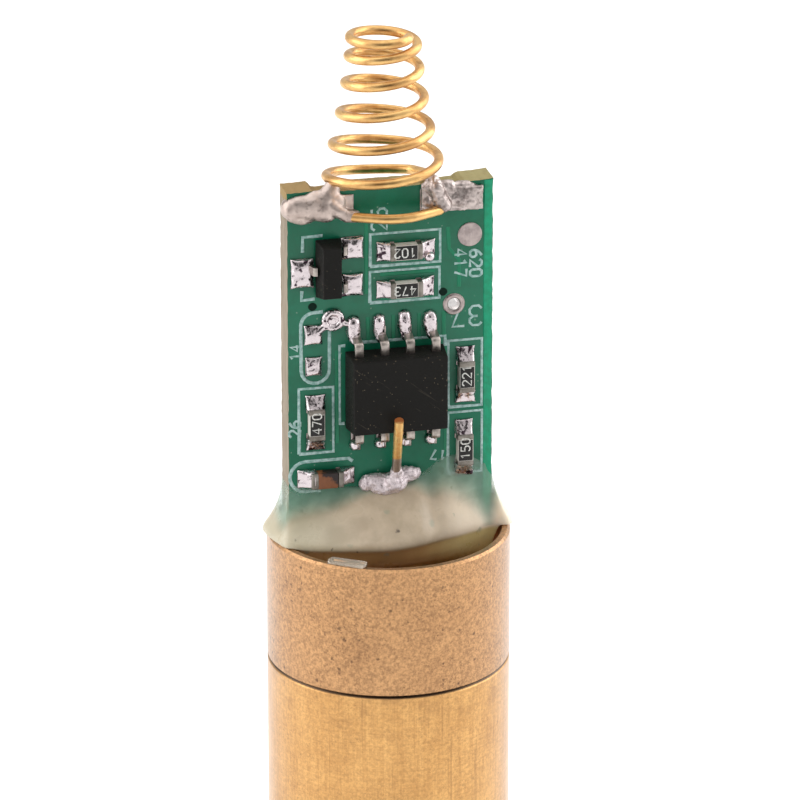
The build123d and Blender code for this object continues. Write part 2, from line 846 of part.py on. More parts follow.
with BuildPart() as glue_fillet:
    for level, half, front, back, close in glue_levels:
        with BuildSketch(Plane.XY.offset(rim_z + level)):
            with BuildLine():
                Spline(*glue_outline(half, front, back, close), periodic=True)
            make_face()
    loft(ruled=True)
    with BuildSketch(Plane.XY.offset(rim_z)):
        with BuildLine():
            Spline(*glue_outline(glue_half - housing_wall, glue_front, glue_back, 0), periodic=True)
        make_face()
        Circle(cup_r, mode=Mode.INTERSECT)
    extrude(amount=-glue_sunk)
    for held in (driver_board, copper_pads, diode_lead_front, diode_leads_rear):
        add(held.part, mode=Mode.SUBTRACT)
    for held in (lead_solder_front, lead_solder_rear):
        add(held.part, mode=Mode.SUBTRACT)

# Flake of adhesive that lies on the rim at the front left
with BuildPart() as glue_flake:
    with BuildSketch(Plane.XY.offset(rim_z).rotated((0, 0, flake_turn))):
        with BuildLine():
            Polyline(*((body_r - inward, along) for inward, along in flake_corners), close=True)
        make_face()
    extrude(amount=flake_t, taper=solder_taper)

pieces = {
    "barrel": barrel,
    "diode_housing": diode_housing,
    "lens_cell": lens_cell,
    "lens": lens,
    "lens_retainer": lens_retainer,
    "diode_header": diode_header,
    "diode_chip": diode_chip,
    "diode_seals": diode_seals,
    "diode_cap": diode_cap,
    "diode_window": diode_window,
    "diode_lead_front": diode_lead_front,
    "diode_leads_rear": diode_leads_rear,
    "driver_board": driver_board,
    "copper_pads": copper_pads,
    "driver_ic_body": driver_ic_body,
    "driver_ic_leads": driver_ic_leads,
    "transistor_body": transistor_body,
    "transistor_leads": transistor_leads,
    **dict(resistor_pieces),
    "capacitor_body": capacitor_body,
    "capacitor_ends": capacitor_ends,
    "resistor_solder": resistor_solder,
    "capacitor_solder": capacitor_solder,
    "ic_solder": ic_solder,
    "transistor_solder": transistor_solder,
    "bare_pad_solder": bare_pad_solder,
    "contact_spring": contact_spring,
    "spring_solder_left": spring_solder_left,
    "spring_solder_right": spring_solder_right,
    "lead_solder_front": lead_solder_front,
    "lead_solder_rear": lead_solder_rear,
    "glue_fillet": glue_fillet,
    "glue_flake": glue_flake,
}
for name, piece in pieces.items():
    piece.part.label = name
    export_step(piece.part, f"parts/{name}.step")
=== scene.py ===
import math

import bmesh
import bpy
from mathutils import Matrix, Vector, noise


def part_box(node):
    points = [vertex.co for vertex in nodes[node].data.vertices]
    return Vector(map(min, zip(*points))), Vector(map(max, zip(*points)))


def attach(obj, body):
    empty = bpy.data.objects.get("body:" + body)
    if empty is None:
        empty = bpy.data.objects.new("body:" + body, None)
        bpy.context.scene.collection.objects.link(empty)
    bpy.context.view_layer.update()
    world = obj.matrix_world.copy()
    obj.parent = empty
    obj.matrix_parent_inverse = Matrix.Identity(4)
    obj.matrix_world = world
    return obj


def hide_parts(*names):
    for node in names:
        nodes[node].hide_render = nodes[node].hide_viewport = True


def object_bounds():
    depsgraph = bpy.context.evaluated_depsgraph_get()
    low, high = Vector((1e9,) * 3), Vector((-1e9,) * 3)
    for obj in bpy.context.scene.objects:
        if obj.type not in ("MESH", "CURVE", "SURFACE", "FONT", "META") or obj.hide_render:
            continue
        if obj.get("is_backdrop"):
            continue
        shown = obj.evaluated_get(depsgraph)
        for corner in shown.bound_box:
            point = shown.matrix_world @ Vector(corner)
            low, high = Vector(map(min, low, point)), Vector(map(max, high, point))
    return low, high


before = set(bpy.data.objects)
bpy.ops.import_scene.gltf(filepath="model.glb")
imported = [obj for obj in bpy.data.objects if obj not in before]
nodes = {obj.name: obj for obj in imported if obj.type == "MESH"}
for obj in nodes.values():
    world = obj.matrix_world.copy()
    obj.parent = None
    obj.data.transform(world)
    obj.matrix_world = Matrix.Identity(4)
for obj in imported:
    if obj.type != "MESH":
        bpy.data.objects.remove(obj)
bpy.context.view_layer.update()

# Barrel
# The front tube: free-cutting brass bar, turned and bored, its outside left
# as drawn, so that fine streaks run along it. Brown patches under the seam
# are where it was gripped when the two brass pieces were pushed together.

MM = 0.001


def tint(red, green, blue):
    """A colour given as 0 to 255 on screen, turned to the linear values that a shader takes."""
    def linear(level):
        level /= 255
        return level / 12.92 if level <= 0.04045 else ((level + 0.055) / 1.055) ** 2.4
    return (linear(red), linear(green), linear(blue), 1.0)


def fill(socket, value):
    """Sets an input; a socket given as value is linked."""
    if isinstance(value, bpy.types.NodeSocket):
        socket.id_data.links.new(value, socket)
    else:
        socket.default_value = value


def put(tree, kind, settings=None, **inputs):
    """Adds a node to a tree. Inputs are named with _ for a space."""
    made = tree.nodes.new(kind)
    for name, value in (settings or {}).items():
        setattr(made, name, value)
    for name, value in inputs.items():
        fill(made.inputs[name.replace("_", " ")], value)
    return made


def sums(operation, *values, kind="ShaderNodeMath"):
    """One Math node: the result socket of an operation on values, at least one of which is a socket."""
    tree = next(value.id_data for value in values if isinstance(value, bpy.types.NodeSocket))
    made = put(tree, kind, {"operation": operation})
    for socket, value in zip(made.inputs, values):
        fill(socket, value)
    return made.outputs[0]


def times(first, second):
    """The product of two values or sockets."""
    return sums("MULTIPLY", first, second)


def mixed(share, first, second):
    """Two colours mixed by a share that changes over the surface."""
    made = put(share.id_data, "ShaderNodeMix", {"data_type": "RGBA"})
    for place, value in ((0, share), (6, first), (7, second)):
        fill(made.inputs[place], value)
    return made.outputs[2]


def between(value, low, high, start=0.0, end=1.0):
    """A value mapped smoothly from low..high to start..end and held at both ends."""
    made = put(value.id_data, "ShaderNodeMapRange", {"interpolation_type": "SMOOTHSTEP"},
               Value=value, From_Min=low, From_Max=high, To_Min=start, To_Max=end)
    return made.outputs[0]


def clouds(place, scale, detail=4.0, rough=0.55):
    """Soft noise, scale given in spots per millimetre."""
    made = put(place.id_data, "ShaderNodeTexNoise", Vector=place, Scale=scale, Detail=detail, Roughness=rough)
    return made.outputs[0]


def ranged(pattern, start, end):
    """Soft noise mapped to start..end over the levels that it mostly has."""
    return between(pattern, 0.3, 0.7, start, end)


def coordinates(place):
    """The three coordinates of a place."""
    return put(place.id_data, "ShaderNodeSeparateXYZ", Vector=place).outputs


def feed(shader, **values):
    """Gives patterns or constants to the shader's inputs."""
    for name, value in values.items():
        fill(shader.inputs[name.replace("_", " ")], value)


def new_finish(name, **constants):
    """A material and its Principled shader, with constants that hold all over the surface, and the object's
    coordinates in millimetres, so that every pattern scale reads as grains per millimetre."""
    finish = bpy.data.materials.new(name)
    finish.use_nodes = True
    shader = finish.node_tree.nodes["Principled BSDF"]
    feed(shader, **constants)
    where = put(finish.node_tree, "ShaderNodeTexCoord").outputs["Object"]
    scaled = put(where.id_data, "ShaderNodeVectorMath", {"operation": "SCALE"}, Vector=where, Scale=1 / MM)
    return finish, shader, scaled.outputs[0]


def bumped(shader, height, depth_mm, strength):
    """Raises the surface by a height pattern of the given depth."""
    bump = put(shader.id_data, "ShaderNodeBump", Height=height, Distance=depth_mm * MM, Strength=strength)
    feed(shader, Normal=bump.outputs[0])


def clouded(name, first, second, scale, rough=None, detail=4.0, **constants):
    """A simple material: its colour follows soft noise, and so does its roughness if its limits are given."""
    finish, shader, place = new_finish(name, **constants)
    haze = clouds(place, scale, detail)
    feed(shader, Base_Color=mixed(haze, first, second))
    if rough:
        feed(shader, Roughness=ranged(haze, *rough))
    return finish


def dress(finish, *names):
    """Gives CAD nodes that keep their shape a better material."""
    for name in names:
        for place in nodes[name].material_slots:
            place.material = finish


def new_effect(name, numbers, result):
    """An empty shader node group with a Vector input, number inputs and one value output."""
    effect = bpy.data.node_groups.new(name, "ShaderNodeTree")
    effect.interface.new_socket("Vector", in_out="INPUT", socket_type="NodeSocketVector")
    for label, value in numbers.items():
        socket = effect.interface.new_socket(label, in_out="INPUT", socket_type="NodeSocketFloat")
        socket.default_value = value
    effect.interface.new_socket(result, in_out="OUTPUT", socket_type="NodeSocketFloat")
    return effect, effect.nodes.new("NodeGroupInput").outputs, effect.nodes.new("NodeGroupOutput").inputs


def effect_value(effect, place, **inputs):
    """Places a shared effect in a material and gives its value."""
    return put(place.id_data, "ShaderNodeGroup", {"node_tree": effect}, Vector=place, **inputs).outputs[0]


# Specks: spots of tarnish, dust or dirt that sit in loose clusters.
specks, given, result = new_effect("specks", {"Grain": 4.0, "Share": 0.3, "Spread": 0.5}, "Mask")
ragged = put(specks, "ShaderNodeTexNoise", Vector=given["Vector"], Detail=3.0,
             Scale=times(given["Grain"], 1.6)).outputs["Color"]
shaken = sums("MULTIPLY_ADD", ragged, sums("DIVIDE", 0.8, given["Grain"]), given["Vector"],
              kind="ShaderNodeVectorMath")
spot = put(specks, "ShaderNodeTexVoronoi", Vector=shaken, Scale=given["Grain"])
cell = put(specks, "ShaderNodeSeparateColor", Color=spot.outputs["Color"])
crowd = clouds(given["Vector"], given["Spread"], 3.0)
kept = sums("LESS_THAN", cell.outputs[0], times(given["Share"], between(crowd, 0.38, 0.66, 0.1, 2.0)))
reach = sums("MULTIPLY_ADD", cell.outputs[1], 0.3, 0.16)
round_spot = sums("SUBTRACT", 1.0, sums("DIVIDE", spot.outputs["Distance"], reach))
fill(result[0], times(kept, between(round_spot, 0.0, 0.7)))

# Streaks: fine lines along Z that drawing or rubbing leaves.
streaks, given, result = new_effect("streaks", {"Across": 6.0, "Along": 0.25}, "Value")
lengths = put(streaks, "ShaderNodeCombineXYZ", X=given["Across"], Y=given["Across"], Z=given["Along"])
drawn = sums("MULTIPLY", given["Vector"], lengths.outputs[0], kind="ShaderNodeVectorMath")
fill(result[0], ranged(clouds(drawn, 1.0, 4.0, 0.65), 0.0, 1.0))

seam_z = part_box("barrel")[1].z / MM


def brass(name, light, dark, tarnish, streak_share, speckle_share, patch_share):
    """Brass with drawing streaks and scratches, cloudy tarnish, speckle in clusters and a thin dark line
    along the seam.
    """
    finish, shader, place = new_finish(name, Metallic=1.0, Coat_Weight=0.65, Coat_Roughness=0.3)
    height = coordinates(place)[2]
    broad = effect_value(streaks, place, Across=0.7, Along=0.2)
    fine = effect_value(streaks, place, Across=8.0, Along=0.22)
    turned = effect_value(streaks, place, Across=0.5, Along=9.0)
    lines = sums("MULTIPLY_ADD", fine, 0.4, times(sums("ADD", broad, turned), 0.3))
    colour = mixed(times(lines, streak_share), light, dark)
    colour = mixed(between(clouds(place, 0.4), 0.42, 0.75, 0.0, 0.4), colour, dark)
    grain = between(clouds(place, 5.5, 4.0, 0.75), 0.36, 0.66, 0.0, 0.58 * speckle_share)
    colour = mixed(grain, colour, tarnish)
    crowd = between(clouds(place, 0.33, 3.0), 0.38, 0.62, 0.35, 1.0)
    mottle = clouds(place, 9.0, 5.0, 0.8)
    blots = between(clouds(place, 3.2, 6.0, 0.85), 0.62, 0.7)
    spots = sums("MAXIMUM", between(mottle, 0.48, 0.7, 0.0, 0.85), blots)
    spots = times(times(spots, crowd), speckle_share)
    colour = mixed(spots, colour, tarnish)
    scratch = between(effect_value(streaks, place, Across=3.4, Along=0.08), 0.84, 1.0)
    colour = mixed(times(scratch, 0.4 * streak_share), colour, tarnish)
    pits = effect_value(specks, place, Grain=3.4, Share=0.16, Spread=0.4)
    colour = mixed(times(pits, 0.8 * speckle_share ** 2), colour, tint(70, 44, 30))
    gripped = between(clouds(place, 0.9, 5.0), 0.48, 0.66)
    patch = times(between(height, seam_z - 3.5, seam_z - 0.1), gripped)
    colour = mixed(times(patch, patch_share), colour, tarnish)
    # A thin dark line along the seam, on both brass pieces.
    off_seam = sums("ABSOLUTE", sums("SUBTRACT", height, seam_z))
    colour = mixed(between(off_seam, 0.04, 0.11, 0.9, 0.0), colour, tint(34, 22, 14))
    rough = sums("ADD", between(lines, 0.0, 1.0, 0.28, 0.4), times(spots, 0.2))
    feed(shader, Base_Color=colour, Roughness=rough)
    bumped(shader, sums("SUBTRACT", sums("ADD", lines, mottle), spots), 0.006, 0.35)
    return finish


barrel_brass = brass("barrel_brass", tint(234, 182, 112), tint(186, 134, 72), tint(126, 84, 48),
                     streak_share=0.75, speckle_share=0.55, patch_share=0.25)
dress(barrel_brass, "barrel")

# Lens and what holds it
# A plano-convex glass lens in a brass cell that screws into the barrel and
# is locked there; a blackened ring keeps the lens down.

inner_brass = brass("inner_brass", tint(222, 172, 106), tint(188, 138, 80), tint(96, 66, 40),
                    streak_share=0.3, speckle_share=0.4, patch_share=0.0)
dress(inner_brass, "lens_cell")

black_ring = clouded("black_ring", tint(22, 22, 23), tint(40, 39, 38), 5.0, (0.45, 0.65))
dress(black_ring, "lens_retainer")

lens_glass = clouded("lens_glass", tint(245, 248, 250), tint(235, 242, 246), 2.0, (0.01, 0.04), 2.0,
                     Transmission_Weight=1.0, IOR=1.52)
dress(lens_glass, "lens", "diode_window")

# Diode housing
# The rear brass piece: a spigot that is pushed into the barrel and a thin
# cup behind it. Its skin is duller and pinker, freckled all over with tarnish.

housing_brass = brass("housing_brass", tint(210, 160, 108), tint(178, 130, 84), tint(102, 68, 40),
                      streak_share=0.2, speckle_share=0.95, patch_share=0.0)
dress(housing_brass, "diode_housing")

# Laser diode
# A small can on a gilt header: steel cap with a window, a sliver of laser
# crystal inside, and glass beads round the leads.


def plated(name, light, dark, low, high):
    """Bright plate with a soft cloudiness and fine rubbing lines."""
    finish, shader, place = new_finish(name, Metallic=1.0)
    rubbed = effect_value(streaks, place, Across=12.0, Along=0.6)
    cloudy = between(clouds(place, 2.2, 5.0), 0.35, 0.7)
    feed(shader, Base_Color=mixed(cloudy, light, dark), Roughness=between(rubbed, 0.0, 1.0, low, high))
    bumped(shader, rubbed, 0.003, 0.3)
    return finish


gilt = plated("gilt", tint(232, 178, 104), tint(204, 142, 78), 0.18, 0.32)
can_steel = plated("can_steel", tint(196, 194, 190), tint(160, 158, 154), 0.2, 0.35)
dress(gilt, "diode_header")
dress(can_steel, "diode_cap")
dress(black_ring, "diode_chip")

bead_glass = clouded("bead_glass", tint(46, 62, 52), tint(72, 86, 70), 3.0, (0.1, 0.25), IOR=1.5)
dress(bead_glass, "diode_seals")

# Driver board
# 1.6 mm glass-epoxy board, green solder mask over copper on both faces. It
# was snapped out of a panel, so its edges and the two tab remains are raw.

board_low, board_high = (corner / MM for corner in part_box("driver_board"))
face_y, back_y = board_low.y, board_high.y
board_top = 48.35
hole_middle, hole_r = (3.05, 42.33), 0.3
board_left, board_right, tab_top = board_low.x, board_high.x, board_high.z
board_corners = [
    (board_left, board_low.z), (board_right, board_low.z), (board_right, tab_top),
    (board_right - 1.4, tab_top - 0.08), (board_right - 1.6, board_top + 0.12),
    (board_right - 1.75, board_top), (1.6, board_top), (1.4, board_top + 0.22),
    (-2.6, board_top + 0.2), (-3.0, board_top), (board_left + 1.5, board_top),
    (board_left + 1.25, tab_top), (board_left, tab_top - 0.03),
]


def snapped(corners, step, nick):
    """An outline with small nicks towards its middle, as a broken edge has, deeper on the tab remains."""
    middle = sum((Vector(c) for c in corners), Vector((0, 0))) / len(corners)
    points = []
    for start, stop in zip(corners, corners[1:] + corners[:1]):
        start, stop = Vector(start), Vector(stop)
        count = max(1, round((stop - start).length / step))
        inwards = Vector((-(stop - start).y, (stop - start).x)).normalized()
        if inwards.dot(middle - start) < 0:
            inwards.negate()
        for i in range(count):
            point = start.lerp(stop, i / count)
            rough = abs(noise.noise(Vector((point.x * 3.1, point.y * 3.1, 2.7))))
            coarse = abs(noise.noise(Vector((point.x * 1.1, point.y * 1.1, 8.3))))
            deep = 1.7 if point.y > board_top + 0.3 else 1.0
            points.append(point + inwards * nick * deep * (rough + 0.6 * coarse) * (i > 0))
    return points


def new_piece(name, mesh, *finishes):
    """An object for a mesh, with its materials."""
    piece = bpy.data.objects.new(name, mesh)
    bpy.context.scene.collection.objects.link(piece)
    for finish in finishes:
        mesh.materials.append(finish)
    return piece


def in_place(piece, slot, *stands_for):
    """Fixes a finished piece to the object, in place of its CAD solids."""
    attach(piece, "root")
    if stands_for:
        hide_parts(*stands_for)
    return piece


mask_green, shader, place = new_finish("mask_green", Specular_IOR_Level=0.3, Coat_Roughness=0.15)
fine = clouds(place, 3.5)
up = coordinates(place)[2]
green = mixed(between(clouds(place, 0.45), 0.4, 0.62), tint(9, 98, 70), tint(11, 108, 79))
green = mixed(between(fine, 0.45, 0.8, 0.0, 0.25), green, tint(22, 122, 90))
dust = effect_value(specks, place, Grain=6.0, Share=0.03, Spread=0.6)
glossy = times(between(up, 35.0, 42.0), between(up, 48.0, 45.5))
feed(shader, Base_Color=mixed(times(dust, 0.35), green, tint(176, 196, 180)),
     Roughness=ranged(fine, 0.3, 0.45), Coat_Weight=times(glossy, 0.28))
bumped(shader, fine, 0.008, 0.3)

raw_edge, shader, place = new_finish("raw_edge", Roughness=0.85)
x, y, z = coordinates(place)
along_edge = sums("ADD", z, x)
layers = put(place.id_data, "ShaderNodeCombineXYZ", X=times(y, 9.0), Y=times(along_edge, 0.35))
plies = put(place.id_data, "ShaderNodeTexNoise", {"noise_dimensions": "2D"}, Vector=layers.outputs[0],
            Scale=1.0, Detail=4.0).outputs[0]
fibre = mixed(between(plies, 0.38, 0.62), tint(126, 114, 96), tint(152, 139, 122))
broken = mixed(between(x, -1.0, 1.0), tint(150, 124, 78), tint(154, 144, 98))
frayed = between(clouds(place, 2.0), 0.45, 0.75, 0.0, 0.6)
broken = mixed(frayed, broken, tint(126, 110, 66))
on_top = between(z, board_top - 0.35, board_top - 0.1)
feed(shader, Base_Color=mixed(on_top, fibre, broken))
bumped(shader, plies, 0.03, 0.4)

form = bmesh.new()
rings = [snapped(board_corners, 0.22, 0.05),
         [Vector(hole_middle) + Vector((math.cos(a), math.sin(a))) * hole_r
          for a in (math.tau * i / 28 for i in range(28))]]
edges = []
for ring in rings:
    corners = [form.verts.new((p.x * MM, face_y * MM, p.y * MM)) for p in ring]
    edges += [form.edges.new((a, b)) for a, b in zip(corners, corners[1:] + corners[:1])]
bmesh.ops.triangle_fill(form, use_beauty=True, edges=edges, normal=Vector((0, -1, 0)))
pushed = bmesh.ops.extrude_face_region(form, geom=form.faces[:])
bmesh.ops.translate(form, vec=Vector((0, (back_y - face_y) * MM, 0)),
                    verts=[g for g in pushed["geom"] if isinstance(g, bmesh.types.BMVert)])
bmesh.ops.recalc_face_normals(form, faces=form.faces[:])
for face in form.faces:
    middle = face.calc_center_median() / MM
    in_hole = (Vector((middle.x, middle.z)) - Vector(hole_middle)).length < hole_r * 1.02
    face.material_index = 0 if abs(face.normal.y) > 0.5 else 2 if in_hole else 1
board_mesh = bpy.data.meshes.new("board")
form.to_mesh(board_mesh)
form.free()
land_tin = plated("land_tin", tint(184, 170, 166), tint(150, 138, 136), 0.25, 0.4)
hole_tin = plated("hole_tin", tint(250, 246, 244), tint(232, 226, 224), 0.05, 0.1)
in_place(new_piece("board", board_mesh, mask_green, raw_edge, hole_tin), "board_laminate", "driver_board")

# Lands and clear channels
# Tinned copper lands, and the paler channels where copper was etched away,
# so that light comes through the mask and the laminate.


def new_rule(name, inputs):
    """An empty Geometry Nodes tree with a Geometry input and named sizes."""
    rule = bpy.data.node_groups.new(name, "GeometryNodeTree")
    rule.interface.new_socket("Geometry", in_out="INPUT", socket_type="NodeSocketGeometry")
    for label, kind in inputs.items():
        rule.interface.new_socket(label, in_out="INPUT", socket_type="NodeSocket" + kind)
    rule.interface.new_socket("Geometry", in_out="OUTPUT", socket_type="NodeSocketGeometry")
    return rule, rule.nodes.new("NodeGroupInput").outputs, rule.nodes.new("NodeGroupOutput").inputs


def end_rule(shape, finish, result):
    """Closes a tree: smooth shading, instances made real, material set."""
    rule = shape.id_data
    shaded = put(rule, "GeometryNodeSetShadeSmooth", Geometry=shape)
    whole = put(rule, "GeometryNodeRealizeInstances", Geometry=shaded.outputs[0])
    dressed = put(rule, "GeometryNodeSetMaterial", Geometry=whole.outputs[0], Material=finish)
    fill(result[0], dressed.outputs[0])


def plain(piece):
    """Leaves a piece as the plain mesh that its modifiers make."""
    bpy.context.view_layer.update()
    ready = piece.evaluated_get(bpy.context.evaluated_depsgraph_get())
    mesh = bpy.data.meshes.new_from_object(ready)
    piece.modifiers.clear()
    piece.data = mesh
    return piece


def made_by(rule, piece, **inputs):
    """Runs a Geometry Nodes tree on a piece, its inputs set by their identifiers first."""
    step = piece.modifiers.new(rule.name, "NODES")
    step.node_group = rule
    for item in rule.interface.items_tree:
        if item.in_out == "INPUT" and item.name.replace(" ", "_") in inputs:
            step[item.identifier] = inputs[item.name.replace(" ", "_")]
    return plain(piece)


def lines_mesh(name, paths):
    """Open or closed lines of edges through points in millimetres."""
    points, edges = [], []
    for path in paths:
        edges += [(len(points) + i, len(points) + i + 1) for i in range(len(path) - 1)]
        points += [Vector(p) * MM for p in path]
    mesh = bpy.data.meshes.new(name)
    mesh.from_pydata(points, edges, [])
    return mesh


def smooth(mesh):
    """Shades every face of a mesh smoothly."""
    for face in mesh.polygons:
        face.use_smooth = True


def closed_mesh(name, points, faces, bevel=0.0):
    """A mesh of points and faces, its edges broken by a bevel if any, its faces all turned outwards."""
    mesh = bpy.data.meshes.new(name)
    mesh.from_pydata(points, [], faces)
    form = bmesh.new()
    form.from_mesh(mesh)
    if bevel:
        bmesh.ops.bevel(form, geom=form.edges[:], offset=bevel * MM, segments=1, affect="EDGES")
    bmesh.ops.recalc_face_normals(form, faces=form.faces[:])
    form.to_mesh(mesh)
    form.free()
    return mesh


def add_block(form, low, high, rounding, draft=0.0, finish=0):
    """A block with rounded edges in a growing mesh; its front (-Y) end is smaller by the draft."""
    low, high = Vector(low), Vector(high)
    made = bmesh.ops.create_cube(form, size=1.0)["verts"]
    for corner in made:
        share = corner.co + Vector((0.5, 0.5, 0.5))
        point = Vector(l + (h - l) * s for l, h, s in zip(low, high, share))
        if share.y < 0.5:
            middle = (low + high) / 2
            point.x += draft if point.x < middle.x else -draft
            point.z += draft if point.z < middle.z else -draft
        corner.co = point * MM
    sides = {face for corner in made for face in corner.link_faces}
    for face in sides:
        face.material_index = finish
    edges = list({edge for corner in made for edge in corner.link_edges})
    bmesh.ops.bevel(form, geom=edges, offset=rounding * MM, segments=3, profile=0.5, affect="EDGES")


def block_piece(name, blocks, *finishes):
    """A piece of one or more rounded blocks: (low, high, rounding), draft and finish number if any."""
    form = bmesh.new()
    for block in blocks:
        add_block(form, *block)
    bmesh.ops.recalc_face_normals(form, faces=form.faces[:])
    mesh = bpy.data.meshes.new(name)
    form.to_mesh(mesh)
    form.free()
    smooth(mesh)
    piece = new_piece(name, mesh, *finishes)
    edge = piece.modifiers.new("crisp", "WEIGHTED_NORMAL")
    edge.keep_sharp = True
    return plain(piece)


def pool_mesh(name, across, along, corner, rise, waist=0.0):
    """A closed skin on a land: across in X, along in Z from 0, rise(u, v) towards -Y, u and v from -1 to 1.
    Corner goes from below 0, drawn out, over 0, square, to 0.5, round; waist narrows the lower end."""
    points, faces = [], []
    columns, rows = 14, 20
    for j in range(rows + 1):
        for i in range(columns + 1):
            u, v = 2 * i / columns - 1, 2 * j / rows - 1
            x = u * math.sqrt(1 - corner * v * v) * across / 2 * (1 - waist * min(v, 0) ** 2)
            z = (v * math.sqrt(1 - corner * u * u) + 1) * along / 2
            points.append(Vector((x, -max(rise(u, v), 0.004), z)) * MM)
    for j in range(rows):
        for i in range(columns):
            a = j * (columns + 1) + i
            faces.append((a, a + 1, a + columns + 2, a + columns + 1))
    rim = list(range(columns + 1)) + [j * (columns + 1) + columns for j in range(1, rows + 1)]
    rim += [rows * (columns + 1) + i for i in range(columns - 1, -1, -1)]
    rim += [j * (columns + 1) for j in range(rows - 1, 0, -1)]
    base = len(points)
    points += [Vector((points[r].x, 0.0, points[r].z)) for r in rim]
    count = len(rim)
    faces += [(rim[k], base + k, base + (k + 1) % count, rim[(k + 1) % count]) for k in range(count)]
    faces.append(tuple(base + k for k in range(count - 1, -1, -1)))
    return closed_mesh(name, points, faces)


# Set pieces: one form repeated at points, each turned about Y and stretched, with a little seeded difference.
set_pieces, given, result = new_rule(
    "set_pieces", {"Form": "Object", "Difference": "Float", "Seed": "Int", "Finish": "Material"})
form_shape = put(set_pieces, "GeometryNodeObjectInfo", Object=given["Form"])
turn = put(set_pieces, "GeometryNodeInputNamedAttribute", {"data_type": "FLOAT"}, Name="turn")
stretch = put(set_pieces, "GeometryNodeInputNamedAttribute", {"data_type": "FLOAT_VECTOR"}, Name="stretch")
least = sums("SUBTRACT", 1.0, given["Difference"])
most = sums("ADD", 1.0, given["Difference"])
chance = put(set_pieces, "FunctionNodeRandomValue", {"data_type": "FLOAT_VECTOR"})
for limit, socket in zip((least, most), chance.inputs):
    each_way = put(set_pieces, "ShaderNodeCombineXYZ", X=limit, Y=limit, Z=limit)
    fill(socket, each_way.outputs[0])
fill(chance.inputs["Seed"], given["Seed"])
size = sums("MULTIPLY", stretch.outputs[0], chance.outputs[0], kind="ShaderNodeVectorMath")
turned = put(set_pieces, "FunctionNodeEulerToRotation",
             Euler=put(set_pieces, "ShaderNodeCombineXYZ", Y=turn.outputs[0]).outputs[0])
spots = put(set_pieces, "GeometryNodeMeshToPoints", Mesh=given["Geometry"])
set_out = put(set_pieces, "GeometryNodeInstanceOnPoints", Points=spots.outputs[0], Rotation=turned.outputs[0],
              Instance=form_shape.outputs["Geometry"], Scale=size)
end_rule(set_out.outputs[0], given["Finish"], result)


def set_at(name, form_mesh, places, difference, seed, finish, slot, *stands_for):
    """Repeats a form at places: (point in millimetres, turn about Y in degrees, stretch)."""
    form_piece = new_piece(name + "_form", form_mesh)
    mesh = bpy.data.meshes.new(name)
    mesh.from_pydata([Vector(p) * MM for p, _, _ in places], [], [])
    turns = mesh.attributes.new("turn", "FLOAT", "POINT")
    stretches = mesh.attributes.new("stretch", "FLOAT_VECTOR", "POINT")
    for i, (_, angle, scale) in enumerate(places):
        turns.data[i].value = math.radians(angle)
        stretches.data[i].vector = scale
    piece = new_piece(name, mesh)
    made_by(set_pieces, piece, Form=form_piece, Difference=difference, Seed=seed, Finish=finish)
    bpy.data.objects.remove(form_piece)
    return in_place(piece, slot, *stands_for)


# Flat line: a strip of ink or mask that follows lines on a face that looks to -Y.
flat_line, given, result = new_rule(
    "flat_line", {"Line Width": "Float", "Face": "Float", "Thickness": "Float", "Finish": "Material"})
half_width = times(given["Line Width"], 0.5)
section = put(flat_line, "GeometryNodeCurvePrimitiveCircle", Resolution=8, Radius=half_width)
strip = put(flat_line, "GeometryNodeCurveToMesh", Profile_Curve=section.outputs[0], Fill_Caps=True,
            Curve=put(flat_line, "GeometryNodeMeshToCurve", Mesh=given["Geometry"]).outputs[0])
where = put(flat_line, "ShaderNodeSeparateXYZ", Vector=put(flat_line, "GeometryNodeInputPosition").outputs[0])
pressed = times(sums("SUBTRACT", where.outputs[1], given["Face"]),
                sums("DIVIDE", given["Thickness"], half_width))
moved = put(flat_line, "ShaderNodeCombineXYZ", X=where.outputs[0], Z=where.outputs[2],
            Y=sums("ADD", given["Face"], pressed))
flattened = put(flat_line, "GeometryNodeSetPosition", Geometry=strip.outputs[0], Position=moved.outputs[0])
end_rule(flattened.outputs[0], given["Finish"], result)


def flat_lines(name, paths, width, face, thickness, finish, slot):
    """Lines given as (x, z) points, drawn on a face at a depth y."""
    drawn = new_piece(name, lines_mesh(name, [[(x, face, z) for x, z in path] for path in paths]))
    made_by(flat_line, drawn, Line_Width=width * MM, Face=face * MM, Thickness=thickness * MM, Finish=finish)
    return in_place(drawn, slot)


def arc_line(middle, radius, start, stop, steps=9):
    """Points on an arc between two angles in degrees."""
    angles = [math.radians(start + (stop - start) * i / steps) for i in range(steps + 1)]
    return [(middle[0] + radius * math.cos(a), middle[1] + radius * math.sin(a)) for a in angles]


pad_y = -1.0
land_t, channel_t, ink_t = 0.05, 0.004, 0.012
land_l, land_w = 0.88, 0.9
as_is = (1, 1, 1)
chip_columns = (-1.855, -0.585, 0.685, 1.955)
land_boxes = [
    (-5.1, 47.3, -1.92, 48.34), (1.35, 47.2, 4.45, 48.34), (-1.3, 33.15, 0.9, 33.85),
    (-4.34, 40.87, -3.54, 41.82), (-4.34, 39.23, -3.54, 40.17), (-5.0, 43.8, -3.9, 45.25),
    (-2.5, 43.2, -1.5, 44.3), (-2.5, 45.1, -1.5, 46.2),
    (-4.77, 33.45, -3.89, 34.35), (-2.85, 33.45, -1.97, 34.35),
]
lands_across = ((-0.8, 44.87), (1.12, 44.87), (-0.78, 42.93), (1.14, 42.93))
lands_upright = ((3.17, 37.25), (3.17, 39.17), (3.11, 33.45), (3.11, 35.37), (-4.3, 35.38), (-4.3, 37.3))
land_boxes += [(x, z, x + land_l, z + land_w) for x, z in lands_across]
land_boxes += [(x, z, x + land_w, z + land_l) for x, z in lands_upright]
land_blocks = [((x, pad_y, z), (far_x, face_y, far_z), 0.02) for x, z, far_x, far_z in land_boxes]
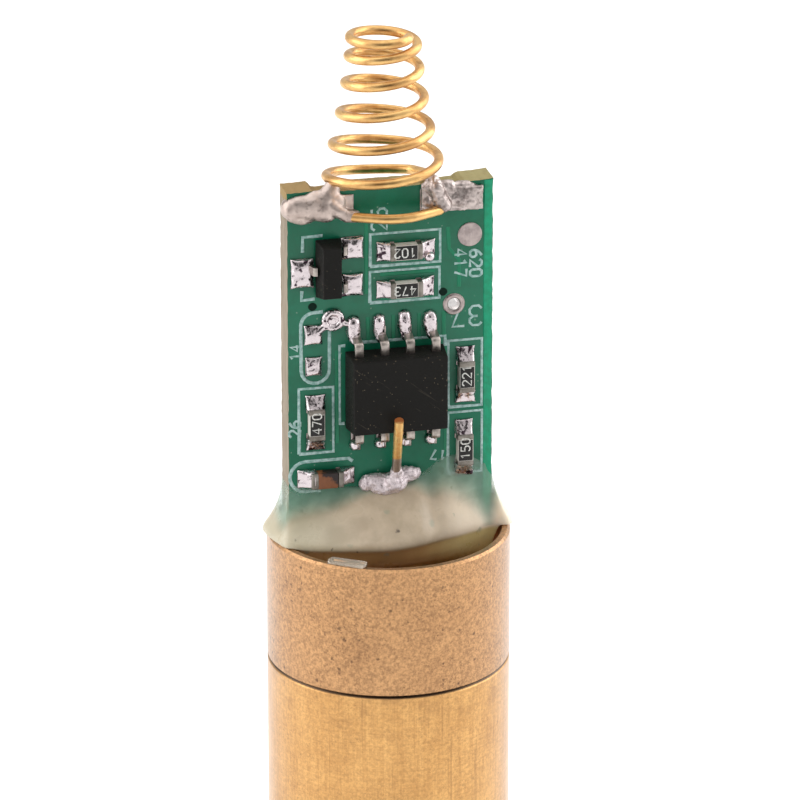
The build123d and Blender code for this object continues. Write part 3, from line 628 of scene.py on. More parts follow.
in_place(block_piece("lands", land_blocks, land_tin), "land_tin", "copper_pads")
round_land = pool_mesh("round_land", 1.2, 1.2, 0.5, lambda u, v: land_t)
set_at("test_land", round_land, [((3.83, face_y, 45.25), 0, as_is)], 0.0, 1, land_tin, "land_tin")
flat_lines("hole_land", [arc_line(hole_middle, 0.43, 0, 360, 40)], 0.25, face_y, land_t, land_tin, "land_tin")
toe_lines = [[(x - 0.1, 40.95), (x - 0.1, 42.0)] for x in chip_columns]
toe_lines += [[(x, 35.4), (x, 36.1)] for x in chip_columns]
flat_lines("toe_lands", toe_lines, 0.5, face_y, land_t, land_tin, "land_tin")

clear_green, shader, place = new_finish("clear_green", Specular_IOR_Level=0.3, Coat_Roughness=0.15)
fine = clouds(place, 3.0)
near_edge = between(coordinates(place)[0], 4.2, 4.5)
paler = mixed(near_edge, tint(8, 122, 86), tint(12, 158, 116))
paler = mixed(between(fine, 0.35, 0.65, 0.0, 0.4), paler, tint(10, 116, 78))
feed(shader, Base_Color=paler, Roughness=ranged(fine, 0.3, 0.45), Coat_Weight=ranged(fine, 0.0, 0.2))
edge_line = [(4.74, 28.0), (4.74, 48.55)]
flat_lines("edge_channel", [edge_line], 0.44, face_y, channel_t, clear_green, "board_laminate")
flat_lines("clear_channels", [
    [(2.75, 46.3), (2.8, 45.2), (3.3, 44.6), (3.3, 43.2)], [(2.55, 42.0), (2.55, 40.7)],
    [(-1.22, 42.0), (-1.22, 40.6)], [(0.05, 42.0), (0.05, 40.6)], [(1.32, 42.0), (1.32, 40.6)],
    [(-0.6, 44.13), (2.1, 44.13)], [(-0.6, 42.85), (2.1, 42.85)], [(-1.3, 46.9), (-1.3, 43.2)],
    [(-2.75, 40.4), (-2.75, 35.6)], [(2.66, 40.2), (2.66, 33.8)],
], 0.2, face_y, channel_t, clear_green, "board_laminate")

# Printed legend
# Pale ink screened on the mask: outlines round the parts, and plain numbers
# beside them. Two plugged vias show as dark dots.

legend_ink, shader, place = new_finish("legend_ink", Roughness=0.6)
worn = between(clouds(place, 5.0, 5.0), 0.35, 0.7)
feed(shader, Base_Color=mixed(worn, tint(180, 205, 202), tint(120, 163, 154)))


def box_line(left, bottom, right, top):
    """A box drawn with one line, which ends just past its start."""
    return [(left, bottom), (left, top), (right, top), (right, bottom), (left - 0.001, bottom)]


legend = [
    [(-4.43, 45.56), (-4.42, 46.32), (-3.44, 46.34)], [(-4.47, 43.6), (-4.5, 43.11), (-3.85, 43.15)],
    box_line(-1.1, 44.58, 2.36, 46.22), box_line(-1.12, 42.72, 2.33, 44.3),
    [(-3.45, 42.46)] + arc_line((-3.9, 41.8), 0.64, 90, 180) + arc_line((-3.83, 39.5), 0.7, 180, 360)
    + [(-3.13, 41.45)],
    [(-2.35, 40.62), (-2.63, 40.62), (-2.63, 36.6), (-2.4, 36.6)],
    [(-1.55, 40.72), (2.62, 40.72), (2.62, 40.2)],
    box_line(2.78, 36.99, 4.46, 40.44), box_line(2.78, 33.52, 4.48, 36.7),
    box_line(-4.66, 35.18, -2.96, 38.55),
    [(-2.0, 34.6)] + [(-2.2, 34.76)] + arc_line((-4.35, 33.98), 0.78, 90, 270) + [(-3.6, 33.2)],
]
flat_lines("legend_outlines", legend, 0.18, face_y, ink_t, legend_ink, "board_laminate")

digit_lines = {
    "0": [[(0, .2), (0, .8), (.16, 1), (.44, 1), (.6, .8), (.6, .2), (.44, 0), (.16, 0), (0, .2)]],
    "1": [[(.12, .78), (.34, 1), (.34, 0)]],
    "2": [[(0, .8), (.15, 1), (.45, 1), (.6, .82), (.6, .64), (0, 0), (.62, 0)]],
    "3": [[(0, .86), (.15, 1), (.45, 1), (.6, .84), (.6, .66), (.44, .53), (.2, .53)],
          [(.44, .53), (.6, .38), (.6, .18), (.45, 0), (.15, 0), (0, .15)]],
    "4": [[(.45, 0), (.45, 1), (0, .32), (.62, .32)]],
    "5": [[(.56, 1), (.06, 1), (.02, .55), (.4, .6), (.6, .44), (.6, .18), (.42, 0), (.15, 0), (0, .13)]],
    "6": [[(.5, 1), (.12, .7), (0, .4), (0, .18), (.15, 0), (.45, 0), (.6, .18), (.6, .38), (.45, .55),
           (.1, .5)]],
    "7": [[(0, 1), (.6, 1), (.22, 0)]],
}


def number_lines(text, place, height, turn):
    """Stroke digits from a lower left corner, turned about it by an angle in degrees."""
    around = Matrix.Rotation(math.radians(turn), 2)
    return [[tuple(Vector(place) + around @ (Vector((x + 0.86 * i, y)) * height)) for x, y in stroke]
            for i, digit in enumerate(text) for stroke in digit_lines[digit]]


numbers = [
    ("25", (-0.28, 46.4), 0.75, 90), ("417", (3.07, 45.12), 0.6, 270), ("620", (3.85, 45.02), 0.58, 270),
    ("37", (4.44, 42.15), 1.0, 180), ("14", (-4.57, 40.1), 0.5, 90), ("26", (-4.6, 36.1), 0.55, 90),
    ("17", (2.7, 34.75), 0.5, 172),
]
strokes = [stroke for number in numbers for stroke in number_lines(*number)]
flat_lines("legend_numbers", strokes, 0.13, face_y, ink_t, legend_ink, "board_laminate")

via_dark = clouded("via_dark", tint(4, 22, 16), tint(10, 42, 30), 6.0, Roughness=0.6, Specular_IOR_Level=0.1)
plug = pool_mesh("plug", 0.42, 0.42, 0.5, lambda u, v: 0.02 * (1 - u * u * v * v))
plug_places = [((x, face_y, z), 0, as_is) for x, z in ((-3.96, 42.55), (2.51, 42.8))]
set_at("plugged_vias", plug, plug_places, 0.05, 2, via_dark, "board_laminate")

# Driver chip
# Eight-lead chip: black epoxy moulded round a tinned lead frame. The leads
# are bent down to the lands, and shining solder drops cover their toes.

moulding, shader, place = new_finish("moulding", Specular_IOR_Level=0.18)
grain = clouds(place, 12.0)
black = mixed(grain, tint(12, 12, 10), tint(25, 23, 20))
dust = sums("MAXIMUM", effect_value(specks, place, Grain=11.0, Share=0.06, Spread=0.7),
            effect_value(specks, place, Grain=5.0, Share=0.02, Spread=0.4))
black = mixed(times(dust, 0.45), black, tint(140, 126, 102))
askew = put(place.id_data, "ShaderNodeMapping", Vector=place, Rotation=(0.0, 0.9, 0.0)).outputs[0]
scratched = effect_value(streaks, askew, Across=9.0, Along=0.5)
black = mixed(between(scratched, 0.95, 1.0, 0.0, 0.14), black, tint(110, 100, 86))
feed(shader, Base_Color=black, Roughness=ranged(grain, 0.5, 0.7))
bumped(shader, grain, 0.012, 0.4)


def bent(points, steps=10):
    """Points along a bent wire: an end, (corner, radius) pairs, an end; each bend is an arc."""
    made = [Vector(points[0])]
    plain_points = [Vector(points[0])] + [Vector(p) for p, _ in points[1:-1]] + [Vector(points[-1])]
    for k, (_, radius) in enumerate(points[1:-1], 1):
        corner = plain_points[k]
        into, out = (plain_points[k - 1] - corner).normalized(), (plain_points[k + 1] - corner).normalized()
        half = into.angle(out) / 2
        middle = corner + (into + out).normalized() * (radius / math.sin(half))
        start = (corner + into * (radius / math.tan(half)) - middle).normalized()
        stop = (corner + out * (radius / math.tan(half)) - middle).normalized()
        made += [middle + start.slerp(stop, i / steps).normalized() * radius for i in range(steps + 1)]
    return made + [plain_points[-1]]


def moulded(name, node, rounding, draft, sunk=(0.0, 0.0)):
    """A moulded body in a node's place, its two ends lower by so much; gives the heights of both ends."""
    low, high = (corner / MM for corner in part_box(node))
    bottom, top = low.z - sunk[0], high.z - sunk[1]
    body = ((low.x, low.y, bottom), (high.x, high.y, top), rounding, draft)
    in_place(block_piece(name, [body], moulding), "moulding_black", node)
    return bottom, top


chip_low, chip_top = moulded("chip_moulding", "driver_ic_body", 0.07, 0.12, (0.2, 0.1))

lead_tin = plated("lead_tin", tint(190, 180, 172), tint(140, 132, 126), 0.3, 0.5)
lead_wide, lead_thick = 0.41, 0.2
lead_bend = 0.16
lead_line = bent([(0, -0.85, -0.15), ((0, -0.85, 0.56), lead_bend), ((0, -0.1, 0.74), lead_bend),
                  (0, -0.1, 1.2)], 6)
points, faces = [], []
for k, at in enumerate(lead_line):
    ahead = (lead_line[min(k + 1, len(lead_line) - 1)] - lead_line[max(k - 1, 0)]).normalized()
    off = Vector((0, -ahead.z, ahead.y)) * lead_thick / 2
    for across, side in ((-1, 1), (1, 1), (1, -1), (-1, -1)):
        points.append((at + off * side + Vector((across * lead_wide / 2, 0, 0))) * MM)
for k in range(len(lead_line) - 1):
    faces += [(4 * k + i, 4 * k + (i + 1) % 4, 4 * k + 4 + (i + 1) % 4, 4 * k + 4 + i) for i in range(4)]
faces += [(3, 2, 1, 0), tuple(len(points) - 4 + i for i in range(4))]
gull_lead = closed_mesh("gull_lead", points, faces, 0.02)
root_depth = 0.04
set_at("chip_leads", gull_lead,
       [((x, pad_y, chip_top - root_depth), 0, as_is) for x in chip_columns]
       + [((x, pad_y, chip_low + root_depth), 180, as_is) for x in chip_columns],
       0.0, 1, lead_tin, "lead_tin", "driver_ic_leads")
dress(lead_tin, "transistor_leads")

bright_solder, shader, place = new_finish("bright_solder", Metallic=1.0)
ripple = clouds(place, 2.6, 2.0, 0.4)
pits = between(clouds(place, 3.2, 3.0), 0.57, 0.66)
feed(shader, Base_Color=mixed(pits, tint(210, 199, 201), tint(60, 46, 54)),
     Roughness=ranged(clouds(place, 6.0), 0.12, 0.3))
bumped(shader, ripple, 0.12, 0.7)

toe_drop = pool_mesh("toe_drop", 0.72, 1.5, 0.36, lambda u, v: (1 - u * u) ** 0.6 * (
    0.32 * (1 - v ** 4) ** 0.7 + 0.4 * max(0.0, -v - 0.45) ** 0.8), 0.3)
set_at("toe_solder", toe_drop,
       [((x - 0.1, pad_y, 40.72), 0, as_is) for x in chip_columns]
       + [((x - 0.06, pad_y, 35.8), 180, (0.8, 0.9, 0.4)) for x in chip_columns],
       0.06, 4, bright_solder, "solder", "ic_solder")

# Transistor
# Three-lead transistor: moulded like the chip, with its leads flat on lands
# that carry broad shining solder.

moulded("transistor_moulding", "transistor_body", 0.06, 0.2)


def pillow(u, v):
    """Share of its height that solder has on a square land, full in the middle."""
    return (1 - u ** 4) ** 0.6 * (1 - v ** 4) ** 0.6


broad_pool = pool_mesh("broad_pool", 1.04, 1.08, -0.1,
                       lambda u, v: 0.05 + 0.24 * pillow(u, v) * (0.8 + 0.2 * u * v))
set_at("transistor_pools", broad_pool,
       [((-2.0, pad_y, 45.1), 0, as_is), ((-2.0, pad_y, 43.2), 0, (1, 0.9, 1)),
        ((-4.47, pad_y, 43.8), 0, (1.04, 1.05, 1.34))], 0.03, 9, bright_solder, "solder", "transistor_solder")

# Chip resistors
# Five thick-film chips: a white ceramic slab, a black glaze with a plain
# number code, plated ends, and solder drawn up each end from its land.

ceramic = clouded("ceramic", tint(196, 190, 180), tint(226, 222, 214), 8.0, Roughness=0.7)
glaze = clouded("glaze", tint(16, 15, 15), tint(34, 31, 29), 10.0, (0.35, 0.5), Specular_IOR_Level=0.35)
end_tin = plated("end_tin", tint(150, 144, 136), tint(112, 106, 98), 0.42, 0.6)
code_ink, shader, place = new_finish("code_ink", Roughness=0.55)
worn = between(clouds(place, 9.0), 0.4, 0.75)
feed(shader, Base_Color=mixed(worn, tint(232, 232, 226), tint(160, 160, 154)))

chip_l, chip_w, chip_t, end_l = 1.6, 0.8, 0.45, 0.28
slab_half, slab_w, slab_t = 0.78, 0.78, 0.4
glaze_half, glaze_w, glaze_low, glaze_top = 0.56, 0.76, 0.36, 0.455
code_height = 0.44
resistors = [
    (1, (0.6, 45.32), True, "102"), (2, (0.62, 43.38), True, "473"), (3, (3.619, 38.65), False, "221"),
    (4, (3.559, 34.85), False, "150"), (5, (-3.849, 36.78), False, "470"),
]


def chip_block(middle, lies_across, span, wide, heights, *form):
    """A block for block_piece: its span along the chip from the middle, its width and two heights."""
    x, z = middle
    low_y, high_y = pad_y - heights[1], pad_y - heights[0]
    if lies_across:
        return (x + span[0], low_y, z - wide / 2), (x + span[1], high_y, z + wide / 2), *form
    return (x - wide / 2, low_y, z + span[0]), (x + wide / 2, high_y, z + span[1]), *form


end_places = []
codes = []
for number, (x, z), lies_across, code in resistors:
    slab = chip_block((x, z), lies_across, (-slab_half, slab_half), slab_w, (0.0, slab_t), 0.02)
    glazed = chip_block((x, z), lies_across, (-glaze_half, glaze_half), glaze_w, (glaze_low, glaze_top),
                        0.03, 0.0, 1)
    in_place(block_piece(f"resistor_{number}_slab", [slab, glazed], ceramic, glaze),
             "resistor_black", f"resistor_{number}_body")
    caps = [chip_block((x, z), lies_across, span, chip_w, (0.0, chip_t), 0.045)
            for span in ((-chip_l / 2, -chip_l / 2 + end_l), (chip_l / 2 - end_l, chip_l / 2))]
    in_place(block_piece(f"resistor_{number}_caps", caps, end_tin), "end_tin", f"resistor_{number}_ends")
    if lies_across:
        end_places += [((x - slab_half, pad_y, z), 270, as_is), ((x + slab_half, pad_y, z), 90, as_is)]
        codes += number_lines(code, (x + 0.42, z + 0.21), code_height, 180)
    else:
        end_places += [((x, pad_y, z - slab_half), 180, as_is), ((x, pad_y, z + slab_half), 0, as_is)]
        codes += number_lines(code, (x + 0.2, z - 0.42), code_height, 90)
flat_lines("resistor_codes", codes, 0.07, pad_y - glaze_top, 0.01, code_ink, "resistor_black")


def drawn_up(u, v, climb, power):
    """Height of solder on a land that is drawn up a plated end, which stands at v = -1."""
    return (0.06 + climb * (0.5 - 0.5 * v) ** power) * (1 - u ** 6) ** 0.5


end_pool = pool_mesh("end_pool", 0.94, 0.66, -0.08,
                     lambda u, v: drawn_up(u, v, 0.34, 1.3) * (1 - max(v, 0) ** 8) ** 0.5)
set_at("resistor_pools", end_pool, end_places, 0.08, 21, bright_solder, "solder", "resistor_solder")

# Capacitor
# One ceramic chip capacitor, brown, with plated ends; a painted shadow
# darkens its top towards the right end.

brown, shader, place = new_finish("brown", Roughness=0.5)
x, _, z = coordinates(place)
clay = mixed(clouds(place, 6.0), tint(104, 58, 28), tint(140, 84, 46))
# Painted shadow: the body turns dark over its top, reaching further down towards its right end.
slope = sums("ADD", times(x, 0.8), z)
painted_shadow = between(sums("ADD", slope, clouds(place, 4.0)), 31.75, 32.0)
feed(shader, Base_Color=mixed(painted_shadow, clay, tint(34, 20, 18)))
low, high = (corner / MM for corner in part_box("capacitor_body"))
in_place(block_piece("capacitor_block", [(low, high, 0.05)], brown), "capacitor_brown", "capacitor_body")
low, high = (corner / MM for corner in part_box("capacitor_ends"))
caps = [(low, (low.x + 0.4, high.y, high.z), 0.06), ((high.x - 0.26, low.y, low.z), high, 0.06)]
in_place(block_piece("capacitor_caps", caps, end_tin), "end_tin", "capacitor_ends")
capacitor_pool = pool_mesh("capacitor_pool", 0.94, 0.8, -0.08, lambda u, v: drawn_up(u, v, 0.36, 1.2))
set_at("capacitor_pools", capacitor_pool,
       [((-3.98, pad_y, 33.9), 270, (1, 1.5, 1)), ((-2.65, pad_y, 33.9), 90, (1, 1.3, 0.85))],
       0.05, 3, bright_solder, "solder", "capacitor_solder")

# Solder on the bare lands
# Two lands that carry no part, and a via beside them, all wetted with solder
# that has run across to the chip's first lead.


def lump(name, balls, blocks, voxel, rounds, roughness, finish, slot, *stands_for):
    """One skin round balls (middle, radii) and blocks (low, high): remeshed, rounded off and dimpled."""
    form = bmesh.new()
    for middle, radii in balls:
        made = bmesh.ops.create_icosphere(form, subdivisions=3, radius=1.0)["verts"]
        for point in made:
            point.co = Vector(m + c * r for m, c, r in zip(middle, point.co, radii)) * MM
    for low, high in blocks:
        made = bmesh.ops.create_cube(form, size=1.0)["verts"]
        for point in made:
            point.co = Vector(l + (h - l) * (c + 0.5) for l, h, c in zip(low, high, point.co)) * MM
    mesh = bpy.data.meshes.new(name)
    form.to_mesh(mesh)
    form.free()
    piece = new_piece(name, mesh)
    skin = piece.modifiers.new("skin", "REMESH")
    skin.mode, skin.voxel_size = "VOXEL", voxel * MM
    rub = piece.modifiers.new("rub", "SMOOTH")
    rub.factor, rub.iterations = 0.5, rounds
    plain(piece)
    piece.data.materials.clear()
    piece.data.materials.append(finish)
    coarse, fine = roughness
    for point in piece.data.vertices:
        at = point.co / MM
        lift = coarse * noise.noise(at * 1.7) + fine * noise.fractal(at * 6.0, 0.7, 2.0, 3)
        point.co += point.normal * lift * MM
    for face in piece.data.polygons:
        face.use_smooth, face.material_index = True, 0
    return in_place(piece, slot, *stands_for)


def chain(points, radius, depth):
    """Balls close together along points, flattened to a depth."""
    balls = []
    for a, b in zip(points, points[1:]):
        a, b = Vector(a), Vector(b)
        count = max(1, round((b - a).length / (radius * 0.5)))
        balls += [(a.lerp(b, i / count), (radius, depth, radius)) for i in range(count + 1)]
    return balls


via_x, via_z, via_r = -2.97, 42.02, 0.4
via_ring = [((via_x + via_r * math.cos(a), pad_y, via_z + via_r * math.sin(a)), (0.2, 0.24, 0.2))
            for a in (math.tau * i / 20 for i in range(20))]
via_plug = ((via_x, pad_y, via_z), (via_r, 0.13, via_r))
stray_ball = ((1.75, pad_y - 0.24, 44.98), (0.27, 0.26, 0.27))
lump("via_solder",
     via_ring + chain([(-3.35, pad_y, 41.75), (-3.7, pad_y, 41.5)], 0.2, 0.2)
     + chain([(-2.6, pad_y, 41.9), (-2.1, pad_y, 41.7)], 0.17, 0.2) + [via_plug, stray_ball],
     [], 0.035, 5, (0.01, 0.006), bright_solder, "solder", "bare_pad_solder")
bare_pool = pool_mesh("bare_pool", 0.84, 0.96, -0.14,
                      lambda u, v: 0.04 + 0.2 * pillow(u, v) * (0.8 - 0.2 * v))
set_at("bare_land_solder", bare_pool,
       [((-3.95, pad_y, 40.85), 0, as_is), ((-3.93, pad_y, 39.24), 0, (0.94, 0.9, 0.97))],
       0.03, 6, bright_solder, "solder")

# Contact spring
# Conical battery spring of gilt wire, coiled to the right, whose last turn
# goes over the board's top edge, bends down its face and runs along it.

spring_middle = (-0.26, -0.15)
spring_wire = 0.478
tip_r, growth, growing_turns = 1.6, 1.16, 5
pitch, tip_closing = 1.58, 1.38
settle_turn, settling = 5.25, 1.68
rear_sag, tuck = 0.36, 13.0
first_turn, last_turn, coil_steps = -0.15, 5.62, 420
coil_stand = 0.68
coil_top = board_top + coil_stand + pitch * settle_turn - tip_closing * (1 - math.exp(-settle_turn))


def coil_point(turn):
    """Middle of the wire at a turn counted from the tip's front, downwards. The rear sags, and the wire's
    end is tucked in."""
    radius = tip_r + growth * min(max(turn, 0) / growing_turns, 1) ** 2 - tuck * min(turn, 0) ** 2
    angle = math.radians(-90 - 360 * turn)
    drop = pitch * turn - tip_closing * (1 - math.exp(-turn)) - settling * max(turn - settle_turn, 0) ** 2
    sag = rear_sag * (turn / growing_turns) ** 2 * ((1 - math.cos(math.tau * turn)) / 2) ** 3
    return Vector((spring_middle[0] + radius * math.cos(angle),
                   spring_middle[1] + radius * math.sin(angle), coil_top - drop - sag))


# Round wire: a tube that follows a line.
round_wire, given, result = new_rule(
    "round_wire", {"Wire Diameter": "Float", "Sides": "Int", "Finish": "Material"})
section = put(round_wire, "GeometryNodeCurvePrimitiveCircle", Resolution=given["Sides"],
              Radius=times(given["Wire Diameter"], 0.5))
tube = put(round_wire, "GeometryNodeCurveToMesh", Profile_Curve=section.outputs[0], Fill_Caps=True,
           Curve=put(round_wire, "GeometryNodeMeshToCurve", Mesh=given["Geometry"]).outputs[0])
end_rule(tube.outputs[0], given["Finish"], result)


def wire(name, paths, diameter, sides, finish, slot, *stands_for):
    """Round wire along one or more paths, as one piece."""
    piece = new_piece(name, lines_mesh(name, paths))
    made_by(round_wire, piece, Wire_Diameter=diameter * MM, Sides=sides, Finish=finish)
    return in_place(piece, slot, *stands_for)


spring_gilt, shader, place = new_finish("spring_gilt", Metallic=1.0)
soft = clouds(place, 0.9)
gold = mixed(between(soft, 0.35, 0.7), tint(232, 189, 124), tint(196, 148, 92))
stretched = put(place.id_data, "ShaderNodeMapping", Vector=place, Scale=(1.0, 1.0, 9.0)).outputs[0]
drawn = clouds(stretched, 1.6)
gold = mixed(between(drawn, 0.56, 0.72, 0.0, 0.5), gold, tint(132, 86, 44))
feed(shader, Base_Color=gold, Roughness=ranged(drawn, 0.28, 0.4))
bumped(shader, drawn, 0.01, 0.3)

over_x, over_z = 2.05, 48.66
foot_y, foot_z = -1.31, 47.35
turns = [first_turn + (last_turn - first_turn) * i / coil_steps for i in range(coil_steps + 1)]
coil = [coil_point(t) for t in turns]
reach_in = [coil[-1].lerp(Vector((2.12, 0.35, 48.62)), s) for s in (0.3, 0.6, 0.85)]
foot = bent([(over_x, spring_middle[1], over_z), ((over_x, foot_y, over_z), 0.3),
             ((2.5, foot_y, foot_z), 0.3), ((0.065, -2.51, foot_z), 2.4), (-2.37, foot_y, foot_z)])
wire("spring_wire", [coil + reach_in + foot], spring_wire, 20, spring_gilt, "spring_gilt", "contact_spring")

# Spring solder
# Two lumps hold the spring's foot: a smooth one that climbs to the wire
# above at the left, and a rough flat one over the land and edge at the right.

dull_solder, shader, place = new_finish("dull_solder", Metallic=1.0)
grain = clouds(place, 4.0, 5.0)
pale = between(clouds(place, 1.3), 0.35, 0.65)
skin = mixed(pale, tint(206, 190, 181), tint(178, 162, 154))
skin = mixed(between(clouds(place, 2.4), 0.54, 0.7, 0.0, 0.65), skin, tint(108, 92, 84))
feed(shader, Base_Color=skin, Roughness=ranged(grain, 0.38, 0.54))
bumped(shader, grain, 0.025, 0.4)

lump("solder_left",
     [((-4.0, -1.1, 47.85), (1.3, 0.4, 0.66)), ((-4.5, -1.05, 48.0), (0.8, 0.38, 0.5)),
      ((-4.4, -1.02, 47.42), (0.85, 0.3, 0.42)), ((-3.4, -1.15, 47.7), (0.85, 0.4, 0.62)),
      ((-2.45, -1.0, 47.78), (0.55, 0.14, 0.6)), ((-5.16, -0.8, 47.8), (0.32, 0.55, 0.45)),
      ((-3.7, -0.95, 48.3), (0.7, 0.36, 0.34)),
      ((-3.3, -1.0, 48.3), (0.75, 0.38, 0.36)), ((-2.95, -1.1, 48.0), (0.6, 0.36, 0.5))]
     + chain([(-3.45, -1.0, 48.2), (-3.2, -0.95, 48.4), (-2.95, -0.8, 48.62)], 0.42, 0.4)
     + chain([(-3.1, -1.3, 47.95), (-2.75, -1.4, 47.65), (-2.35, -1.4, 47.4), (-1.95, -1.34, 47.33)],
             0.34, 0.32),
     [((-5.14, -1.14, 47.2), (-4.2, -0.97, 48.34)), ((-2.7, -1.1, 47.25), (-1.93, -0.97, 48.36))],
     0.055, 16, (0.05, 0.01), dull_solder, "solder", "spring_solder_left")

rough_solder, shader, place = new_finish("rough_solder", Metallic=1.0)
grain = clouds(place, 3.2, 6.0, 0.65)
skin = mixed(between(grain, 0.38, 0.72), tint(198, 185, 180), tint(130, 118, 114))
feed(shader, Base_Color=skin, Roughness=ranged(grain, 0.3, 0.5))
bumped(shader, grain, 0.06, 0.6)
lump("solder_right",
     chain([(1.95, -1.05, 48.62), (2.05, -1.3, 48.4), (2.2, -1.32, 48.0), (2.45, -1.34, 47.6)], 0.4, 0.36)
     + [((1.8, -1.05, 48.4), (0.46, 0.3, 0.34)), ((2.6, -0.95, 48.42), (0.55, 0.3, 0.3)),
        ((3.5, -1.1, 47.8), (0.9, 0.28, 0.55)), ((1.9, -1.1, 47.65), (0.55, 0.26, 0.5)),
        ((3.4, -0.9, 48.36), (0.8, 0.26, 0.2))],
     [((1.36, -1.24, 47.18), (4.42, -0.97, 48.36))],
     0.05, 4, (0.06, 0.028), rough_solder, "solder", "spring_solder_right")

# Diode leads
# Gold-plated leads from the diode: one up the board's face and away from it
# at its cut end, two up its back. Solder holds each to its land.

lead_gold, shader, place = new_finish("lead_gold", Metallic=1.0)
up = coordinates(place)[2]
soft = clouds(place, 3.0)
plate = mixed(between(soft, 0.4, 0.7), tint(255, 214, 142), tint(238, 178, 104))
plate = mixed(between(up, 35.1, 34.95), plate, tint(178, 162, 150))
plate = mixed(between(up, 37.28, 37.4), plate, tint(176, 108, 62))
feed(shader, Base_Color=plate, Roughness=ranged(soft, 0.34, 0.46))
lead_d, lead_side = 0.45, 0.866
wire("lead_front", [bent([(0, -1.0, 26.3), ((0, -1.0, 26.75), 0.3), ((0.0, -1.255, 27.375), 0.45),
                          ((0.06, -1.37, 33.6), 0.45), (-0.2, -3.25, 37.4)])],
     lead_d, 20, lead_gold, "gilt_lead", "diode_lead_front")
rear_lines = [bent([(x, 0.5, 24.7), ((x, 0.5, 26.75), 0.3), ((x, 0.905, 27.375), 0.45), (x, 0.905, 33.7)])
              for x in (-lead_side, lead_side)]
wire("leads_rear", rear_lines, lead_d, 20, lead_gold, "gilt_lead", "diode_leads_rear")

grainy_solder, shader, place = new_finish("grainy_solder", Metallic=0.85)
grain = clouds(place, 9.0, 5.0, 0.75)
skin = mixed(between(grain, 0.46, 0.68), tint(236, 224, 226), tint(178, 164, 168))
pits = effect_value(specks, place, Grain=6.0, Share=0.35, Spread=0.8)
feed(shader, Base_Color=mixed(times(pits, 0.8), skin, tint(66, 52, 54)), Roughness=ranged(grain, 0.4, 0.6))
bumped(shader, grain, 0.05, 0.6)
lump("lead_solder",
     [((0.0, -1.4, 33.52), (0.6, 0.5, 0.52)), ((-0.95, -1.2, 33.5), (0.8, 0.36, 0.5)),
      ((0.65, -1.2, 33.8), (0.72, 0.32, 0.4)), ((-0.5, -1.3, 33.22), (0.75, 0.42, 0.36))]
     + chain([(0.04, -1.5, 33.9), (0.02, -1.62, 34.2)], 0.3, 0.3),
     [], 0.05, 5, (0.08, 0.05), grainy_solder, "solder", "lead_solder_front")
lump("lead_solder_back",
     [((x, 0.85, 33.0), (0.44, 0.45, 0.66)) for x in (-lead_side, lead_side)],
     [], 0.05, 4, (0.05, 0.02), dull_solder, "solder", "lead_solder_rear")

# Adhesive
# Milky adhesive run round the board at the rim: a clear film where it climbs
# the board, thick and cloudy lower down, with a rounded lip over the cup.

rim_z = 30.7
cup_r, cup_fade = 5.6, 0.5
glue_depth = 1.9
round_count = 260
# Stations round the board: where the film starts on it (x, y, height over the rim), its foot (x, y),
# and how full it stands near its top.
stations = [
    (-5.2, -0.95, 2.8, -5.75, -1.45, 1.0), (-4.6, -0.95, 2.85, -5.25, -2.12, 1.0),
    (-2.9, -0.95, 2.65, -3.15, -2.86, 1.1), (-0.8, -0.95, 2.6, -0.75, -3.32, 2.0),
    (0.8, -0.95, 2.7, 0.83, -3.04, 2.0), (1.72, -0.95, 3.15, 1.8, -2.66, 1.2),
    (2.67, -0.95, 3.75, 2.66, -2.3, 1.1), (4.0, -0.95, 3.6, 4.0, -1.7, 1.1),
    (4.64, -0.95, 3.2, 4.85, -1.3, 1.0), (4.98, -0.9, 3.05, 5.82, -1.38, 1.0),
    (5.0, -0.15, 3.0, 6.12, -0.5, 1.0), (4.98, 0.62, 2.8, 5.85, 1.1, 1.0),
    (3.0, 0.65, 2.6, 3.2, 2.45, 1.0), (0.0, 0.65, 2.5, 0.0, 2.8, 1.4),
    (-3.0, 0.65, 2.6, -3.2, 2.45, 1.0), (-5.18, 0.62, 2.7, -5.85, 1.3, 1.0),
    (-5.2, -0.15, 2.75, -6.12, 0.1, 1.0),
]
# The adhesive's section as shares: of the way out to its foot, and of its height over or depth under the rim.
glue_profile = [
    (-0.06, 1.0), (0.0, 1.0), (0.025, 0.97), (0.06, 0.88), (0.11, 0.78), (0.18, 0.67), (0.27, 0.56),
    (0.38, 0.455), (0.5, 0.36), (0.62, 0.28), (0.74, 0.21), (0.85, 0.15), (0.93, 0.1), (0.98, 0.055),
    (1.0, 0.015), (0.995, -0.02), (0.975, -0.05), (0.95, -0.1), (0.93, -0.2), (0.9, -0.36), (0.82, -0.55),
    (0.6, -0.8), (-0.06, -1.0),
]


def spread(values, where):
    """A smooth closed run through values at a place from 0 to 1."""
    count = len(values)
    k = int(where * count) % count
    t = where * count - int(where * count)
    a, b, c, d = (values[(k + i) % count] for i in (-1, 0, 1, 2))
    return b + 0.5 * t * (c - a + t * (2 * a - 5 * b + 4 * c - d + t * (3 * (b - c) + d - a)))


